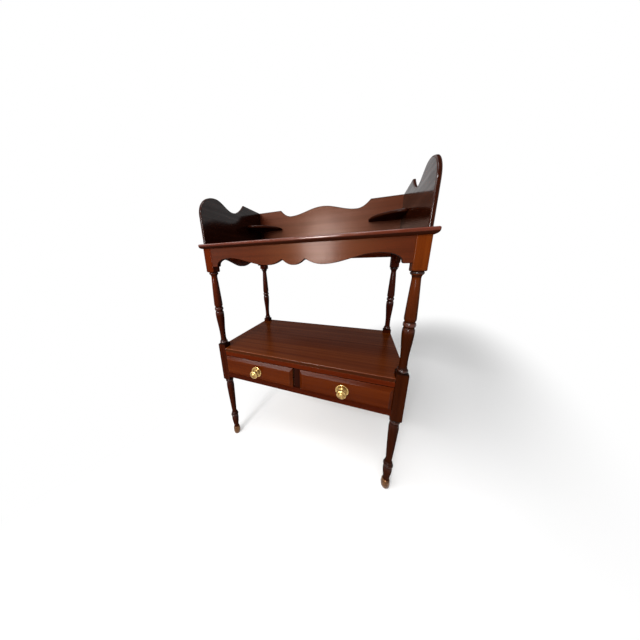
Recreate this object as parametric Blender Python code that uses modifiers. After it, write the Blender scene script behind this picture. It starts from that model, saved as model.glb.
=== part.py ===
"""Mahogany washstand: a galleried tray on four turned legs, with a shelf over two drawers below.

Metres, +Z up, front towards -Y. The floor is z = 0, and the whole object is centred on x = y = 0.
"""

import math

import bmesh
import bpy
from mathutils import Matrix, Vector

# Frame: across the outer faces of the legs
FRAME_WIDTH = 0.613
FRAME_DEPTH = 0.348
LEG_STOCK = 0.029

# Heights above the floor, and the thicknesses that stack between them
LOWER_RAIL_LOW = 0.291
LOWER_RAIL_HEIGHT = 0.020
DRAWER_OPENING_HEIGHT = 0.0735
UPPER_RAIL_HEIGHT = 0.0145
SHELF_THICKNESS = 0.013
TRAY_LOW = 0.7556
TRAY_THICKNESS = 0.0135

# Fits: the gap between glued faces, and the room round a sliding drawer
FIT_GAP = 0.0003
DRAWER_SIDE_ROOM = 0.0012
DRAWER_TOP_ROOM = 0.0014
REVEAL = 0.001  # rails and panels lie this far behind the faces of the legs

# Leg blocks, left square
CASE_BLOCK_DROP = 0.015  # below the lower rail
CASE_BLOCK_RISE = 0.0145  # above the shelf
TOP_BLOCK_HEIGHT = 0.0730
POMMEL = 0.006  # height of the rounded shoulder where a block turns round

# Turning of the legs, as radii and as heights along the leg
BEAD_RADIUS = 0.0140
BEAD_HEIGHT = 0.007
BEAD_ROOT = 0.0104
NECK_RADIUS = 0.0092
NECK_COVE = 0.009
SPINDLE_RADIUS = 0.0133
SHOULDER_HEIGHT = 0.009
MIDDLE_RING_RISE = 0.131  # centre of the middle ring above the case block
MIDDLE_RING_HEIGHT = 0.0155
LOWER_SPINDLE_RADIUS = 0.0136
BASE_NECK_RISE = 0.0245
BASE_NECK_LENGTH = 0.009
BASE_RING_HEIGHT = 0.0110
BASE_RING_RADIUS = 0.0132
BASE_RING_ROOT = 0.0110
UNDER_BEAD_HEIGHT = 0.015
LEG_SHOULDER_DROP = 0.022
LEG_SHOULDER_RADIUS = 0.0132
ANKLE_RADIUS = 0.0084
ANKLE_HEIGHT = 0.117
ANKLE_FLARE = 0.005
SMALL_RING_RADIUS = 0.0115
SMALL_RING_HEIGHT = 0.007
ANKLE_RING_HEIGHT = 0.0115
VASE_RADIUS = 0.0127
VASE_SHOULDER = 0.0125
TOE_RADIUS = 0.0086

# Brass ball toe under each leg, with a socket for the leg's spigot
TOE_CAP_HEIGHT = 0.036
TOE_CAP_RADIUS = 0.0130
TOE_CAP_LIP = 0.0090
TOE_CAP_FLAT = 0.0072
SPIGOT_RADIUS = 0.0058
SPIGOT_LENGTH = 0.016

# Tenons of rails, aprons and panels
TENON_THICKNESS = 0.006
TENON_LENGTH = 0.011
TENON_SETBACK = 0.0052  # from the face of the leg
TENON_SHOULDER = 0.007
TENON_ROOT = 0.006  # stretch of the tenon inside its own board

# Aprons under the tray: depths below the tray, and places from the leg or the middle
APRON_THICKNESS = 0.014
BRACKET_DEPTH = 0.0556
BRACKET_FLAT = 0.0145
BRACKET_NOSE = 0.0055
ARCH_DEPTH = 0.0308
FRONT_ARCH_RUN = 0.0465
SIDE_ARCH_RUN = 0.0255
FRONT_LOBE_PLACE = 0.080
FRONT_LOBE_DEPTH = 0.0536
FRONT_CUSP_PLACE = 0.033
FRONT_CUSP_DEPTH = 0.0386
FRONT_CENTRE_DEPTH = 0.0543
SIDE_LOBE_DEPTH = 0.0561
BACK_RAIL_DEPTH = 0.033

# Tray top with a thumb-moulded edge
TRAY_OVERHANG = 0.0095
TRAY_TOP_ROUND = 0.0036
TRAY_UNDER_ROUND = 0.0085

# Gallery boards: set in from the edges of the tray, with a shaped edge that drops below the back corners
GALLERY_THICKNESS = 0.009
GALLERY_HEIGHT = 0.1665
GALLERY_INSET = 0.0105
GALLERY_FRONT_INSET = 0.0125
GALLERY_REBATE = 0.004
BACK_POINT_PLACE = 0.1877
BACK_DIP_PLACE = 0.139
BACK_DIP_DROP = 0.0270
BACK_CREST_DROP = 0.0030
SIDE_SPRING_DROP = 0.0845
SIDE_CREST_RUN = 0.0725  # from the front edge of the side board
SIDE_CREST_DROP = 0.0191
SIDE_DIP_RUN = 0.144
SIDE_DIP_DROP = 0.0422
SIDE_POINT_RUN = 0.217

# Quarter-round corner shelves in the gallery
CORNER_SHELF_RADIUS = 0.1125
CORNER_SHELF_THICKNESS = 0.009
CORNER_SHELF_TOP = 0.0944  # above the tray
CORNER_SHELF_TIP = 0.008
CORNER_SHELF_TONGUE = 0.003

# Drawer case under the shelf
RAIL_DEPTH = 0.045
DIVIDER_WIDTH = 0.0215
DIVIDER_RECESS = 0.003
DIVIDER_STUB = 0.004
CASE_SIDE_THICKNESS = 0.013
CASE_BACK_THICKNESS = 0.010
RUNNER_THICKNESS = 0.012
RUNNER_LEDGE = 0.016  # under the side of a drawer
GUIDE_HEIGHT = 0.022
STOP_LENGTH = 0.050
STOP_DEPTH = 0.012
STOP_HEIGHT = 0.004

# Drawers
DRAWER_FRONT_THICKNESS = 0.016
FIELD_BEVEL = 0.0135
FIELD_RISE = 0.008
DRAWER_SIDE_THICKNESS = 0.009
DRAWER_SIDE_DROP = 0.003  # of the sides below the top of the front
DRAWER_BACK_THICKNESS = 0.008
DRAWER_BACK_DROP = 0.004
DRAWER_BACK_ROOM = 0.010  # behind the shut drawer
DRAWER_BOTTOM_THICKNESS = 0.005
DRAWER_BOTTOM_RISE = 0.008
GROOVE_DEPTH = 0.004
FRONT_LAP = 0.005  # wood left in front of the dovetails
TAIL_COUNT = 2
TAIL_MARGIN = 0.006
PIN_WIDTH = 0.008
TAIL_FLARE = 0.0016

# Brass knobs
PLATE_RADIUS = 0.0185
PLATE_STEP_RADIUS = 0.0150
PLATE_BOSS_RADIUS = 0.0105
PLATE_RIM = 0.0012
PLATE_THICKNESS = 0.0034
KNOB_RADIUS = 0.0140
KNOB_STEM = 0.0062
KNOB_FOOT = 0.0085
KNOB_LENGTH = 0.0205
KNOB_RIM_PLACE = 0.0125
KNOB_BUTTON_RADIUS = 0.0080
KNOB_BUTTON_RISE = 0.0026
SCREW_RADIUS = 0.0020
SCREW_HEAD_RADIUS = 0.0042
SCREW_HEAD_HEIGHT = 0.0024
SCREW_BITE = 0.009  # length of the screw inside the knob

# Facets
TURN_STEPS = 16
QUARTER_STEPS = 2
BEAD_STEPS = 4
CURVE_STEPS = 7

# Sizes that follow from those above
HALF_WIDTH = FRAME_WIDTH / 2
INNER_HALF = HALF_WIDTH - LEG_STOCK
KNOB_REACH = FIELD_RISE + PLATE_THICKNESS + KNOB_LENGTH + 2 * FIT_GAP
CENTRE_Y = (KNOB_REACH - TRAY_OVERHANG) / 2
FRONT_Y = CENTRE_Y - FRAME_DEPTH / 2
BACK_Y = CENTRE_Y + FRAME_DEPTH / 2
INNER_FRONT_Y = FRONT_Y + LEG_STOCK
INNER_BACK_Y = BACK_Y - LEG_STOCK
LOWER_RAIL_TOP = LOWER_RAIL_LOW + LOWER_RAIL_HEIGHT
UPPER_RAIL_LOW = LOWER_RAIL_TOP + DRAWER_OPENING_HEIGHT
SHELF_LOW = UPPER_RAIL_LOW + UPPER_RAIL_HEIGHT
SHELF_TOP = SHELF_LOW + SHELF_THICKNESS
CASE_BLOCK_LOW = LOWER_RAIL_LOW - CASE_BLOCK_DROP
CASE_BLOCK_TOP = SHELF_TOP + CASE_BLOCK_RISE
LEG_TOP = TRAY_LOW - FIT_GAP
TOP_BLOCK_LOW = TRAY_LOW - TOP_BLOCK_HEIGHT
TRAY_TOP = TRAY_LOW + TRAY_THICKNESS
TRAY_HALF = HALF_WIDTH + TRAY_OVERHANG
TRAY_FRONT_Y = FRONT_Y - TRAY_OVERHANG
TRAY_BACK_Y = BACK_Y + TRAY_OVERHANG
GALLERY_LOW = TRAY_TOP + FIT_GAP
GALLERY_TOP = GALLERY_LOW + GALLERY_HEIGHT
GALLERY_OUTER = TRAY_HALF - GALLERY_INSET
GALLERY_INNER = GALLERY_OUTER - GALLERY_THICKNESS
GALLERY_FRONT_Y = TRAY_FRONT_Y + GALLERY_FRONT_INSET
GALLERY_REAR_Y = TRAY_BACK_Y - GALLERY_INSET
GALLERY_BACK_FACE_Y = GALLERY_REAR_Y - GALLERY_THICKNESS
RAIL_BACK_Y = FRONT_Y + REVEAL + RAIL_DEPTH
CASE_BACK_FACE_Y = BACK_Y - REVEAL - CASE_BACK_THICKNESS
CASE_SIDE_FACE = HALF_WIDTH - REVEAL - CASE_SIDE_THICKNESS
OPENING_WIDTH = INNER_HALF - DIVIDER_WIDTH / 2
DRAWER_WIDTH = OPENING_WIDTH - 2 * DRAWER_SIDE_ROOM
DRAWER_HEIGHT = DRAWER_OPENING_HEIGHT - FIT_GAP - DRAWER_TOP_ROOM
DRAWER_LENGTH = CASE_BACK_FACE_Y - DRAWER_BACK_ROOM - FRONT_Y

# One name for each side: -1 is the left as seen from the front
SIDES = {"left": -1, "right": 1}
DEPTHS = {"front": -1, "back": 1}


def clear_scene():
    for thing in list(bpy.data.objects):
        bpy.data.objects.remove(thing)


def new_collection(name):
    group = bpy.data.collections.new(name)
    bpy.context.scene.collection.children.link(group)
    return group


clear_scene()
PARTS = new_collection("washstand")
TOOLS = new_collection("washstand cutters and tenons")


# Materials
def finish(name, colour, roughness, metallic=0.0):
    material = bpy.data.materials.new(name)
    material.use_nodes = True
    shader = material.node_tree.nodes["Principled BSDF"]
    shader.inputs["Base Color"].default_value = (*colour, 1.0)
    shader.inputs["Roughness"].default_value = roughness
    shader.inputs["Metallic"].default_value = metallic
    return material


MAHOGANY = finish("polished_mahogany", (0.105, 0.025, 0.009), 0.25)
LINING = finish("drawer_lining_wood", (0.38, 0.23, 0.12), 0.60)
BRASS = finish("polished_brass", (0.56, 0.38, 0.14), 0.22, 1.0)
OLD_BRASS = finish("worn_brass", (0.22, 0.11, 0.045), 0.45, 1.0)
STEEL = finish("steel", (0.42, 0.42, 0.43), 0.38, 1.0)


# Making and joining solids
def add_part(name, mesh, material, parent=None):
    part = bpy.data.objects.new(name, mesh)
    mesh.materials.append(material)
    PARTS.objects.link(part)
    part.parent = parent
    return part


def add_tool(name, mesh, parent=None):
    tool = bpy.data.objects.new(name, mesh)
    tool.hide_render = True
    tool.display_type = "WIRE"
    TOOLS.objects.link(tool)
    tool.parent = parent
    return tool


def box_mesh(name, low, high):
    """A box, with its middle, so that the object can be placed by its location."""
    low = Vector(low)
    high = Vector(high)
    shape = bmesh.new()
    bmesh.ops.create_cube(shape, size=1.0, matrix=Matrix.Diagonal(high - low).to_4x4())
    mesh = bpy.data.meshes.new(name)
    shape.to_mesh(mesh)
    shape.free()
    return mesh, (low + high) / 2


def box_part(name, low, high, material, parent=None):
    mesh, middle = box_mesh(name, low, high)
    part = add_part(name, mesh, material, parent)
    part.location = middle
    return part


def box_tool(name, low, high, parent=None):
    mesh, middle = box_mesh(name, low, high)
    tool = add_tool(name, mesh, parent)
    tool.location = middle
    return tool


# A board's outline is drawn in one of these planes and thickened across it
BOARD_TURN = {
    "XY": (0.0, 0.0, 0.0),
    "XZ": (math.pi / 2, 0.0, 0.0),
    "YZ": (math.pi / 2, 0.0, math.pi / 2),
}
BOARD_NORMAL = {"XY": (0, 0, 1), "XZ": (0, 1, 0), "YZ": (1, 0, 0)}


def board_mesh(name, outline, thickness):
    """A flat outline thickened both ways, made from a filled 2D curve."""
    curve = bpy.data.curves.new(name, "CURVE")
    curve.dimensions = "2D"
    curve.fill_mode = "BOTH"
    curve.extrude = thickness / 2
    spline = curve.splines.new("POLY")
    spline.points.add(len(outline) - 1)
    for point, (across, up) in zip(spline.points, outline):
        point.co = (across, up, 0.0, 1.0)
    spline.use_cyclic_u = True
    drawn = bpy.data.objects.new(name, curve)
    TOOLS.objects.link(drawn)
    graph = bpy.context.evaluated_depsgraph_get()
    mesh = bpy.data.meshes.new_from_object(drawn.evaluated_get(graph))
    bpy.data.objects.remove(drawn)
    shape = bmesh.new()
    shape.from_mesh(mesh)
    bmesh.ops.remove_doubles(shape, verts=shape.verts, dist=0.00001)
    bmesh.ops.recalc_face_normals(shape, faces=shape.faces)
    shape.to_mesh(mesh)
    shape.free()
    mesh.name = name
    return mesh


def stand_board(board, plane, low, thickness):
    board.rotation_euler = BOARD_TURN[plane]
    board.location = Vector(BOARD_NORMAL[plane]) * (low + thickness / 2)


def board_part(name, outline, plane, low, thickness, material, parent=None):
    part = add_part(name, board_mesh(name, outline, thickness), material, parent)
    stand_board(part, plane, low, thickness)
    return part


def board_tool(name, outline, plane, low, thickness, parent=None):
    tool = add_tool(name, board_mesh(name, outline, thickness), parent)
    stand_board(tool, plane, low, thickness)
    return tool


def turned_part(name, profile, material, closed=False, parent=None):
    """A profile of radius and height, listed down its outer side, turned round Z."""
    shape = bmesh.new()
    points = [shape.verts.new((radius, 0.0, height)) for radius, height in profile]
    for upper, lower in zip(points, points[1:]):
        shape.edges.new((upper, lower))
    if closed:
        shape.edges.new((points[-1], points[0]))
    mesh = bpy.data.meshes.new(name)
    shape.to_mesh(mesh)
    shape.free()
    part = add_part(name, mesh, material, parent)
    turn = part.modifiers.new("Turn", "SCREW")
    turn.steps = TURN_STEPS
    turn.render_steps = TURN_STEPS
    turn.use_merge_vertices = True
    turn.merge_threshold = 0.00001
    turn.use_smooth_shade = True
    return part


def boolean(part, tool, operation):
    change = part.modifiers.new(f"{operation.title()} {tool.name}", "BOOLEAN")
    change.operation = operation
    change.solver = "EXACT"
    change.object = tool


def grown(low, high, gap):
    margin = Vector((gap, gap, gap))
    return Vector(low) - margin, Vector(high) + margin


def tenon(board, post, low, high):
    """Adds a tenon to a board, and cuts its mortise in the post with a gap all round."""
    name = f"{board.name} into {post.name}"
    boolean(board, box_tool(f"tenon of {name}", low, high), "UNION")
    boolean(post, box_tool(f"mortise of {name}", *grown(low, high, FIT_GAP)), "DIFFERENCE")


# Outlines
def quarter(start, end, along_first):
    """A quarter-round from start to end, without its start. It leaves along the axis if along_first."""
    points = []
    for step in range(1, QUARTER_STEPS + 1):
        angle = step / QUARTER_STEPS * math.pi / 2
        slow = 1 - math.cos(angle)
        fast = math.sin(angle)
        across, along = (slow, fast) if along_first else (fast, slow)
        points.append(
            (
                start[0] + (end[0] - start[0]) * across,
                start[1] + (end[1] - start[1]) * along,
            )
        )
    return points


def bead(top, height, root, crest):
    """A half-round ring from its top downwards, without its first point."""
    points = []
    for step in range(1, BEAD_STEPS + 1):
        angle = step / BEAD_STEPS * math.pi
        radius = root + (crest - root) * math.sin(angle)
        points.append((radius, top - height / 2 * (1 - math.cos(angle))))
    return points


def ease(start, end):
    """A smooth S from start to end, level at both ends in the second coordinate, without its start."""
    points = []
    for step in range(1, CURVE_STEPS + 1):
        share = step / CURVE_STEPS
        blend = (1 - math.cos(share * math.pi)) / 2
        points.append(
            (start[0] + (end[0] - start[0]) * share, start[1] + (end[1] - start[1]) * blend)
        )
    return points


def swapped(points):
    return [(second, first) for first, second in points]


def sweep(low, high):
    """A hollow curve from low, where it is level, up to a point at high, without low."""
    points = []
    for step in range(1, CURVE_STEPS + 1):
        share = step / CURVE_STEPS
        points.append(
            (low[0] + (high[0] - low[0]) * share, low[1] + (high[1] - low[1]) * share**2)
        )
    return points


def mirrored(half):
    """A whole edge from its right half, which runs from the end to the middle."""
    return half + [(-across, up) for across, up in reversed(half) if across > 0]


# Legs
def leg_profile():
    corner = LEG_STOCK / math.sqrt(2) + REVEAL
    ring_top = CASE_BLOCK_TOP + MIDDLE_RING_RISE + MIDDLE_RING_HEIGHT / 2
    ring_low = ring_top - MIDDLE_RING_HEIGHT
    base_ring_top = CASE_BLOCK_TOP + BASE_RING_HEIGHT
    base_neck = CASE_BLOCK_TOP + BASE_NECK_RISE
    neck_top = TOP_BLOCK_LOW - BEAD_HEIGHT
    under_low = CASE_BLOCK_LOW - UNDER_BEAD_HEIGHT
    shoulder = under_low - LEG_SHOULDER_DROP
    small_ring_top = ANKLE_HEIGHT - ANKLE_FLARE
    ankle_ring_top = small_ring_top - SMALL_RING_HEIGHT
    vase_top = ankle_ring_top - ANKLE_RING_HEIGHT
    vase = vase_top - VASE_SHOULDER
    toe = TOE_CAP_HEIGHT + FIT_GAP
    spigot_end = TOE_CAP_HEIGHT - SPIGOT_LENGTH

    points = [(0.0, LEG_TOP), (corner, LEG_TOP), (corner, TOP_BLOCK_LOW + POMMEL)]
    points += quarter(points[-1], (BEAD_ROOT, TOP_BLOCK_LOW), True)
    points += bead(TOP_BLOCK_LOW, BEAD_HEIGHT, BEAD_ROOT, BEAD_RADIUS)
    points += quarter(points[-1], (NECK_RADIUS, neck_top - NECK_COVE), False)
    points.append((SPINDLE_RADIUS, ring_top + SHOULDER_HEIGHT))
    points += quarter(points[-1], (BEAD_ROOT, ring_top), True)
    points += bead(ring_top, MIDDLE_RING_HEIGHT, BEAD_ROOT, BEAD_RADIUS)
    points += quarter(points[-1], (LOWER_SPINDLE_RADIUS, ring_low - SHOULDER_HEIGHT), False)
    spindle_foot = (base_neck + BASE_NECK_LENGTH, NECK_RADIUS)
    points += swapped(ease((points[-1][1], points[-1][0]), spindle_foot))
    points.append((NECK_RADIUS, base_neck))
    points += quarter(points[-1], (BASE_RING_ROOT, base_ring_top), True)
    points += bead(base_ring_top, BASE_RING_HEIGHT, BASE_RING_ROOT, BASE_RING_RADIUS)
    points += quarter(points[-1], (corner, CASE_BLOCK_TOP - POMMEL), False)
    points.append((corner, CASE_BLOCK_LOW + POMMEL))
    points += quarter(points[-1], (BEAD_ROOT, CASE_BLOCK_LOW), True)
    points += bead(CASE_BLOCK_LOW, UNDER_BEAD_HEIGHT, BEAD_ROOT, BEAD_RADIUS)
    points += quarter(points[-1], (LEG_SHOULDER_RADIUS, shoulder), False)
    points.append((ANKLE_RADIUS, ANKLE_HEIGHT))
    points += quarter(points[-1], (BEAD_ROOT - REVEAL, small_ring_top), True)
    points += bead(small_ring_top, SMALL_RING_HEIGHT, BEAD_ROOT - REVEAL, SMALL_RING_RADIUS)
    points += bead(ankle_ring_top, ANKLE_RING_HEIGHT, BEAD_ROOT - REVEAL, BEAD_RADIUS)
    points += quarter(points[-1], (VASE_RADIUS, vase), False)
    points += swapped(ease((points[-1][1], points[-1][0]), (toe, TOE_RADIUS)))
    points += [(SPIGOT_RADIUS, toe), (SPIGOT_RADIUS, spigot_end), (0.0, spigot_end)]
    return points


def toe_cap_profile():
    socket = SPIGOT_RADIUS + FIT_GAP
    floor = TOE_CAP_HEIGHT - SPIGOT_LENGTH - FIT_GAP
    middle = TOE_CAP_HEIGHT / 2
    points = [(0.0, floor), (socket, floor), (socket, TOE_CAP_HEIGHT)]
    points.append((TOE_CAP_LIP, TOE_CAP_HEIGHT))
    points += quarter(points[-1], (TOE_CAP_RADIUS, middle), False)
    points += quarter(points[-1], (TOE_CAP_FLAT, 0.0), True)
    points.append((0.0, 0.0))
    return points


def make_leg(depth_name, side_name):
    side = SIDES[side_name]
    centre_x = side * (HALF_WIDTH - LEG_STOCK / 2)
    centre_y = CENTRE_Y + DEPTHS[depth_name] * (FRAME_DEPTH - LEG_STOCK) / 2
    name = f"leg_{depth_name}_{side_name}"
    leg = turned_part(name, leg_profile(), MAHOGANY)
    leg.location = (centre_x, centre_y, 0.0)
    leg.rotation_euler.z = math.pi / TURN_STEPS  # no facet edge meets a corner of the stock
    half = LEG_STOCK / 2
    square = box_tool(
        f"square stock of {name}",
        (centre_x - half, centre_y - half, -half),
        (centre_x + half, centre_y + half, LEG_TOP + half),
    )
    boolean(leg, square, "INTERSECT")
    cap = turned_part(f"toe_cap_{depth_name}_{side_name}", toe_cap_profile(), OLD_BRASS)
    cap.location = leg.location
    return leg


LEGS = {(depth, side): make_leg(depth, side) for depth in DEPTHS for side in SIDES}


def tenon_span(side, face):
    """The two ends of a tenon along the board, at one side, in rising order."""
    return sorted((side * (face - TENON_ROOT), side * (face + TENON_LENGTH)))


def tenon_across_x(board, depth_name, low_y, low_z, high_z, thickness=TENON_THICKNESS):
    """A tenon at each end of a board that runs from left to right."""
    for side_name, side in SIDES.items():
        first, last = tenon_span(side, INNER_HALF)
        post = LEGS[depth_name, side_name]
        tenon(board, post, (first, low_y, low_z), (last, low_y + thickness, high_z))


def tenon_across_y(board, side_name, low_z, high_z):
    """A tenon at each end of a board that runs from front to back, in line with the outside of the legs."""
    side = SIDES[side_name]
    faces = (side * (HALF_WIDTH - TENON_SETBACK - TENON_THICKNESS), side * (HALF_WIDTH - TENON_SETBACK))
    for depth_name, depth in DEPTHS.items():
        first, last = tenon_span(depth, FRAME_DEPTH / 2 - LEG_STOCK)
        low = (min(faces), CENTRE_Y + first, low_z)
        high = (max(faces), CENTRE_Y + last, high_z)
        tenon(board, LEGS[depth_name, side_name], low, high)


# Aprons
def bracket_and_arch(half, arch_run):
    """The end of an apron's lower edge: a flat bracket by the leg, a rounded nose and a hollow arch."""
    low = TRAY_LOW - BRACKET_DEPTH
    nose_end = (half - BRACKET_FLAT - BRACKET_NOSE, low + BRACKET_NOSE)
    points = [(half, low), (half - BRACKET_FLAT, low)]
    points += quarter(points[-1], nose_end, False)
    crown = (nose_end[0] - arch_run, TRAY_LOW - ARCH_DEPTH)
    for step in range(1, CURVE_STEPS + 1):
        angle = step / CURVE_STEPS * math.pi / 2
        across = crown[0] + arch_run * math.cos(angle)
        points.append((across, nose_end[1] + (crown[1] - nose_end[1]) * math.sin(angle)))
    return points


def apron_outline(half, lower_half):
    top = TRAY_LOW - FIT_GAP
    return [(-half, top), (half, top)] + mirrored(lower_half)


def front_apron_edge(half):
    points = bracket_and_arch(half, FRONT_ARCH_RUN)
    lobe = (FRONT_LOBE_PLACE, TRAY_LOW - FRONT_LOBE_DEPTH)
    cusp = (FRONT_CUSP_PLACE, TRAY_LOW - FRONT_CUSP_DEPTH)
    centre = (0.0, TRAY_LOW - FRONT_CENTRE_DEPTH)
    points += ease(points[-1], lobe)
    points += sweep(lobe, cusp)
    points += list(reversed(sweep(centre, cusp)[:-1])) + [centre]
    return points


def side_apron_edge(half):
    points = bracket_and_arch(half, SIDE_ARCH_RUN)
    return points + ease(points[-1], (0.0, TRAY_LOW - SIDE_LOBE_DEPTH))


APRON_TENON_LOW = TRAY_LOW - ARCH_DEPTH - TENON_SHOULDER
APRON_TENON_HIGH = TRAY_LOW - TENON_SHOULDER


def make_front_apron():
    half = INNER_HALF - FIT_GAP
    outline = apron_outline(half, front_apron_edge(half))
    low_y = FRONT_Y + REVEAL
    apron = board_part("front_apron", outline, "XZ", low_y, APRON_THICKNESS, MAHOGANY)
    tenon_across_x(apron, "front", FRONT_Y + TENON_SETBACK, APRON_TENON_LOW, APRON_TENON_HIGH)


def make_side_apron(side_name):
    side = SIDES[side_name]
    half = FRAME_DEPTH / 2 - LEG_STOCK - FIT_GAP
    outline = apron_outline(half, side_apron_edge(half))
    outline = [(CENTRE_Y + along, up) for along, up in outline]
    outer = side * (HALF_WIDTH - REVEAL)
    low_x = min(outer, outer - side * APRON_THICKNESS)
    apron = board_part(f"{side_name}_apron", outline, "YZ", low_x, APRON_THICKNESS, MAHOGANY)
    tenon_across_y(apron, side_name, APRON_TENON_LOW, APRON_TENON_HIGH)


def make_back_rail():
    half = INNER_HALF - FIT_GAP
    low_y = BACK_Y - REVEAL - APRON_THICKNESS
    low = (-half, low_y, TRAY_LOW - BACK_RAIL_DEPTH)
    high = (half, low_y + APRON_THICKNESS, TRAY_LOW - FIT_GAP)
    rail = box_part("back_rail", low, high, MAHOGANY)
    tenon_y = BACK_Y - TENON_SETBACK - TENON_THICKNESS
    tenon_low = TRAY_LOW - BACK_RAIL_DEPTH + TENON_SHOULDER
    tenon_across_x(rail, "back", tenon_y, tenon_low, APRON_TENON_HIGH)


make_front_apron()
for name in SIDES:
    make_side_apron(name)
make_back_rail()


# Tray
def make_tray():
    low = (-TRAY_HALF, TRAY_FRONT_Y, TRAY_LOW)
    high = (TRAY_HALF, TRAY_BACK_Y, TRAY_TOP)
    tray = box_part("tray_top", low, high, MAHOGANY)
    shape = bmesh.new()
    shape.from_mesh(tray.data)
    weight = shape.edges.layers.float.new("bevel_weight_edge")
    back = (TRAY_BACK_Y - TRAY_FRONT_Y) / 2
    for edge in shape.edges:
        ends = [corner.co for corner in edge.verts]
        level = abs(ends[0].z - ends[1].z) < FIT_GAP
        at_back = all(abs(end.y - back) < FIT_GAP for end in ends)
        if level and not at_back:
            edge[weight] = TRAY_TOP_ROUND / TRAY_UNDER_ROUND if ends[0].z > 0 else 1.0
        elif not level and ends[0].y < 0:
            edge[weight] = TRAY_TOP_ROUND / TRAY_UNDER_ROUND
    shape.to_mesh(tray.data)
    shape.free()
    thumb = tray.modifiers.new("Thumb edge", "BEVEL")
    thumb.limit_method = "WEIGHT"
    thumb.width = TRAY_UNDER_ROUND
    thumb.segments = BEAD_STEPS - 1


make_tray()


# Gallery
def back_gallery_outline(half):
    point = (BACK_POINT_PLACE, GALLERY_TOP)
    dip = (BACK_DIP_PLACE, GALLERY_TOP - BACK_DIP_DROP)
    crest = (0.0, GALLERY_TOP - BACK_CREST_DROP)
    edge = [(half, GALLERY_TOP)] + list(reversed(sweep(dip, point))) + [dip] + ease(dip, crest)
    return [(-half, GALLERY_LOW), (half, GALLERY_LOW)] + mirrored(edge)


def side_gallery_outline():
    front = GALLERY_FRONT_Y
    rear = GALLERY_REAR_Y
    spring = (front, GALLERY_TOP - SIDE_SPRING_DROP)
    crest = (front + SIDE_CREST_RUN, GALLERY_TOP - SIDE_CREST_DROP)
    dip = (front + SIDE_DIP_RUN, GALLERY_TOP - SIDE_DIP_DROP)
    points = [(front, GALLERY_LOW), (rear, GALLERY_LOW), (rear, GALLERY_TOP)]
    points += list(reversed(sweep(dip, (front + SIDE_POINT_RUN, GALLERY_TOP)))) + [dip]
    points += ease(dip, crest)
    for step in range(1, CURVE_STEPS + 1):
        angle = step / CURVE_STEPS * math.pi / 2
        along = crest[0] + (spring[0] - crest[0]) * math.sin(angle)
        points.append((along, spring[1] + (crest[1] - spring[1]) * math.cos(angle)))
    return points


def corner_shelf_outline(side):
    """A quarter-round with rounded tips, and a tongue along each wall that stops short of the tip."""
    wall_x = GALLERY_INNER - FIT_GAP
    wall_y = GALLERY_BACK_FACE_Y - FIT_GAP
    radius = CORNER_SHELF_RADIUS
    tip = CORNER_SHELF_TIP
    reach = math.sqrt((radius - tip) ** 2 - tip**2)
    tilt = math.atan2(tip, reach)
    points = []
    for step in range(2 * CURVE_STEPS + 1):
        angle = tilt + (math.pi / 2 - 2 * tilt) * step / (2 * CURVE_STEPS)
        points.append((radius * math.sin(angle), radius * math.cos(angle)))
    first = [(0.0, reach)]
    last = [(reach, 0.0)]
    for step in range(1, QUARTER_STEPS + 1):
        angle = (math.pi / 2 - tilt) * step / (QUARTER_STEPS + 1)
        first.append((tip - tip * math.cos(angle), reach + tip * math.sin(angle)))
        last.insert(0, (reach + tip * math.sin(angle), tip - tip * math.cos(angle)))
    stop = reach - tip
    tongue = CORNER_SHELF_TONGUE
    edges = [(stop, 0.0), (stop, -tongue), (-tongue, -tongue), (-tongue, stop), (0.0, stop)]
    outline = first + points + last + edges
    return [(side * (wall_x - out), wall_y - forward) for out, forward in outline]


def make_gallery():
    back_half = GALLERY_INNER + GALLERY_REBATE
    outline = back_gallery_outline(back_half)
    face_y = GALLERY_BACK_FACE_Y
    back = board_part("back_gallery", outline, "XZ", face_y, GALLERY_THICKNESS, MAHOGANY)
    shelf_top = TRAY_TOP + CORNER_SHELF_TOP
    shelf_low = shelf_top - CORNER_SHELF_THICKNESS
    for side_name, side in SIDES.items():
        low_x = min(side * GALLERY_INNER, side * GALLERY_OUTER)
        name = f"{side_name}_gallery"
        board = board_part(
            name, side_gallery_outline(), "YZ", low_x, GALLERY_THICKNESS, MAHOGANY
        )
        rebate = sorted((side * (GALLERY_INNER - FIT_GAP), side * (back_half + FIT_GAP)))
        rebate_low = (rebate[0], face_y - FIT_GAP, GALLERY_LOW - GALLERY_THICKNESS)
        rebate_high = (
            rebate[1],
            GALLERY_REAR_Y + GALLERY_THICKNESS,
            GALLERY_TOP + GALLERY_THICKNESS,
        )
        boolean(board, box_tool(f"rebate of {name}", rebate_low, rebate_high), "DIFFERENCE")
        shelf_name = f"{side_name}_corner_shelf"
        outline = corner_shelf_outline(side)
        board_part(shelf_name, outline, "XY", shelf_low, CORNER_SHELF_THICKNESS, MAHOGANY)
        reach = [across for across, _ in outline]
        depth = [along for _, along in outline]
        stop = CORNER_SHELF_RADIUS - CORNER_SHELF_TIP
        housing_low = (min(reach), max(depth) - stop, shelf_low)
        housing_high = (max(reach), max(depth), shelf_top)
        housing = box_tool(
            f"housing of {shelf_name}", *grown(housing_low, housing_high, FIT_GAP)
        )
        boolean(board, housing, "DIFFERENCE")
        inner = sorted((side * (GALLERY_INNER - stop), side * (GALLERY_INNER + CORNER_SHELF_TONGUE)))
        slot_low = (inner[0], housing_low[1], shelf_low)
        slot_high = (inner[1], housing_high[1], shelf_top)
        slot = box_tool(f"slot of {shelf_name}", *grown(slot_low, slot_high, FIT_GAP))
        boolean(back, slot, "DIFFERENCE")


make_gallery()


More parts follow.
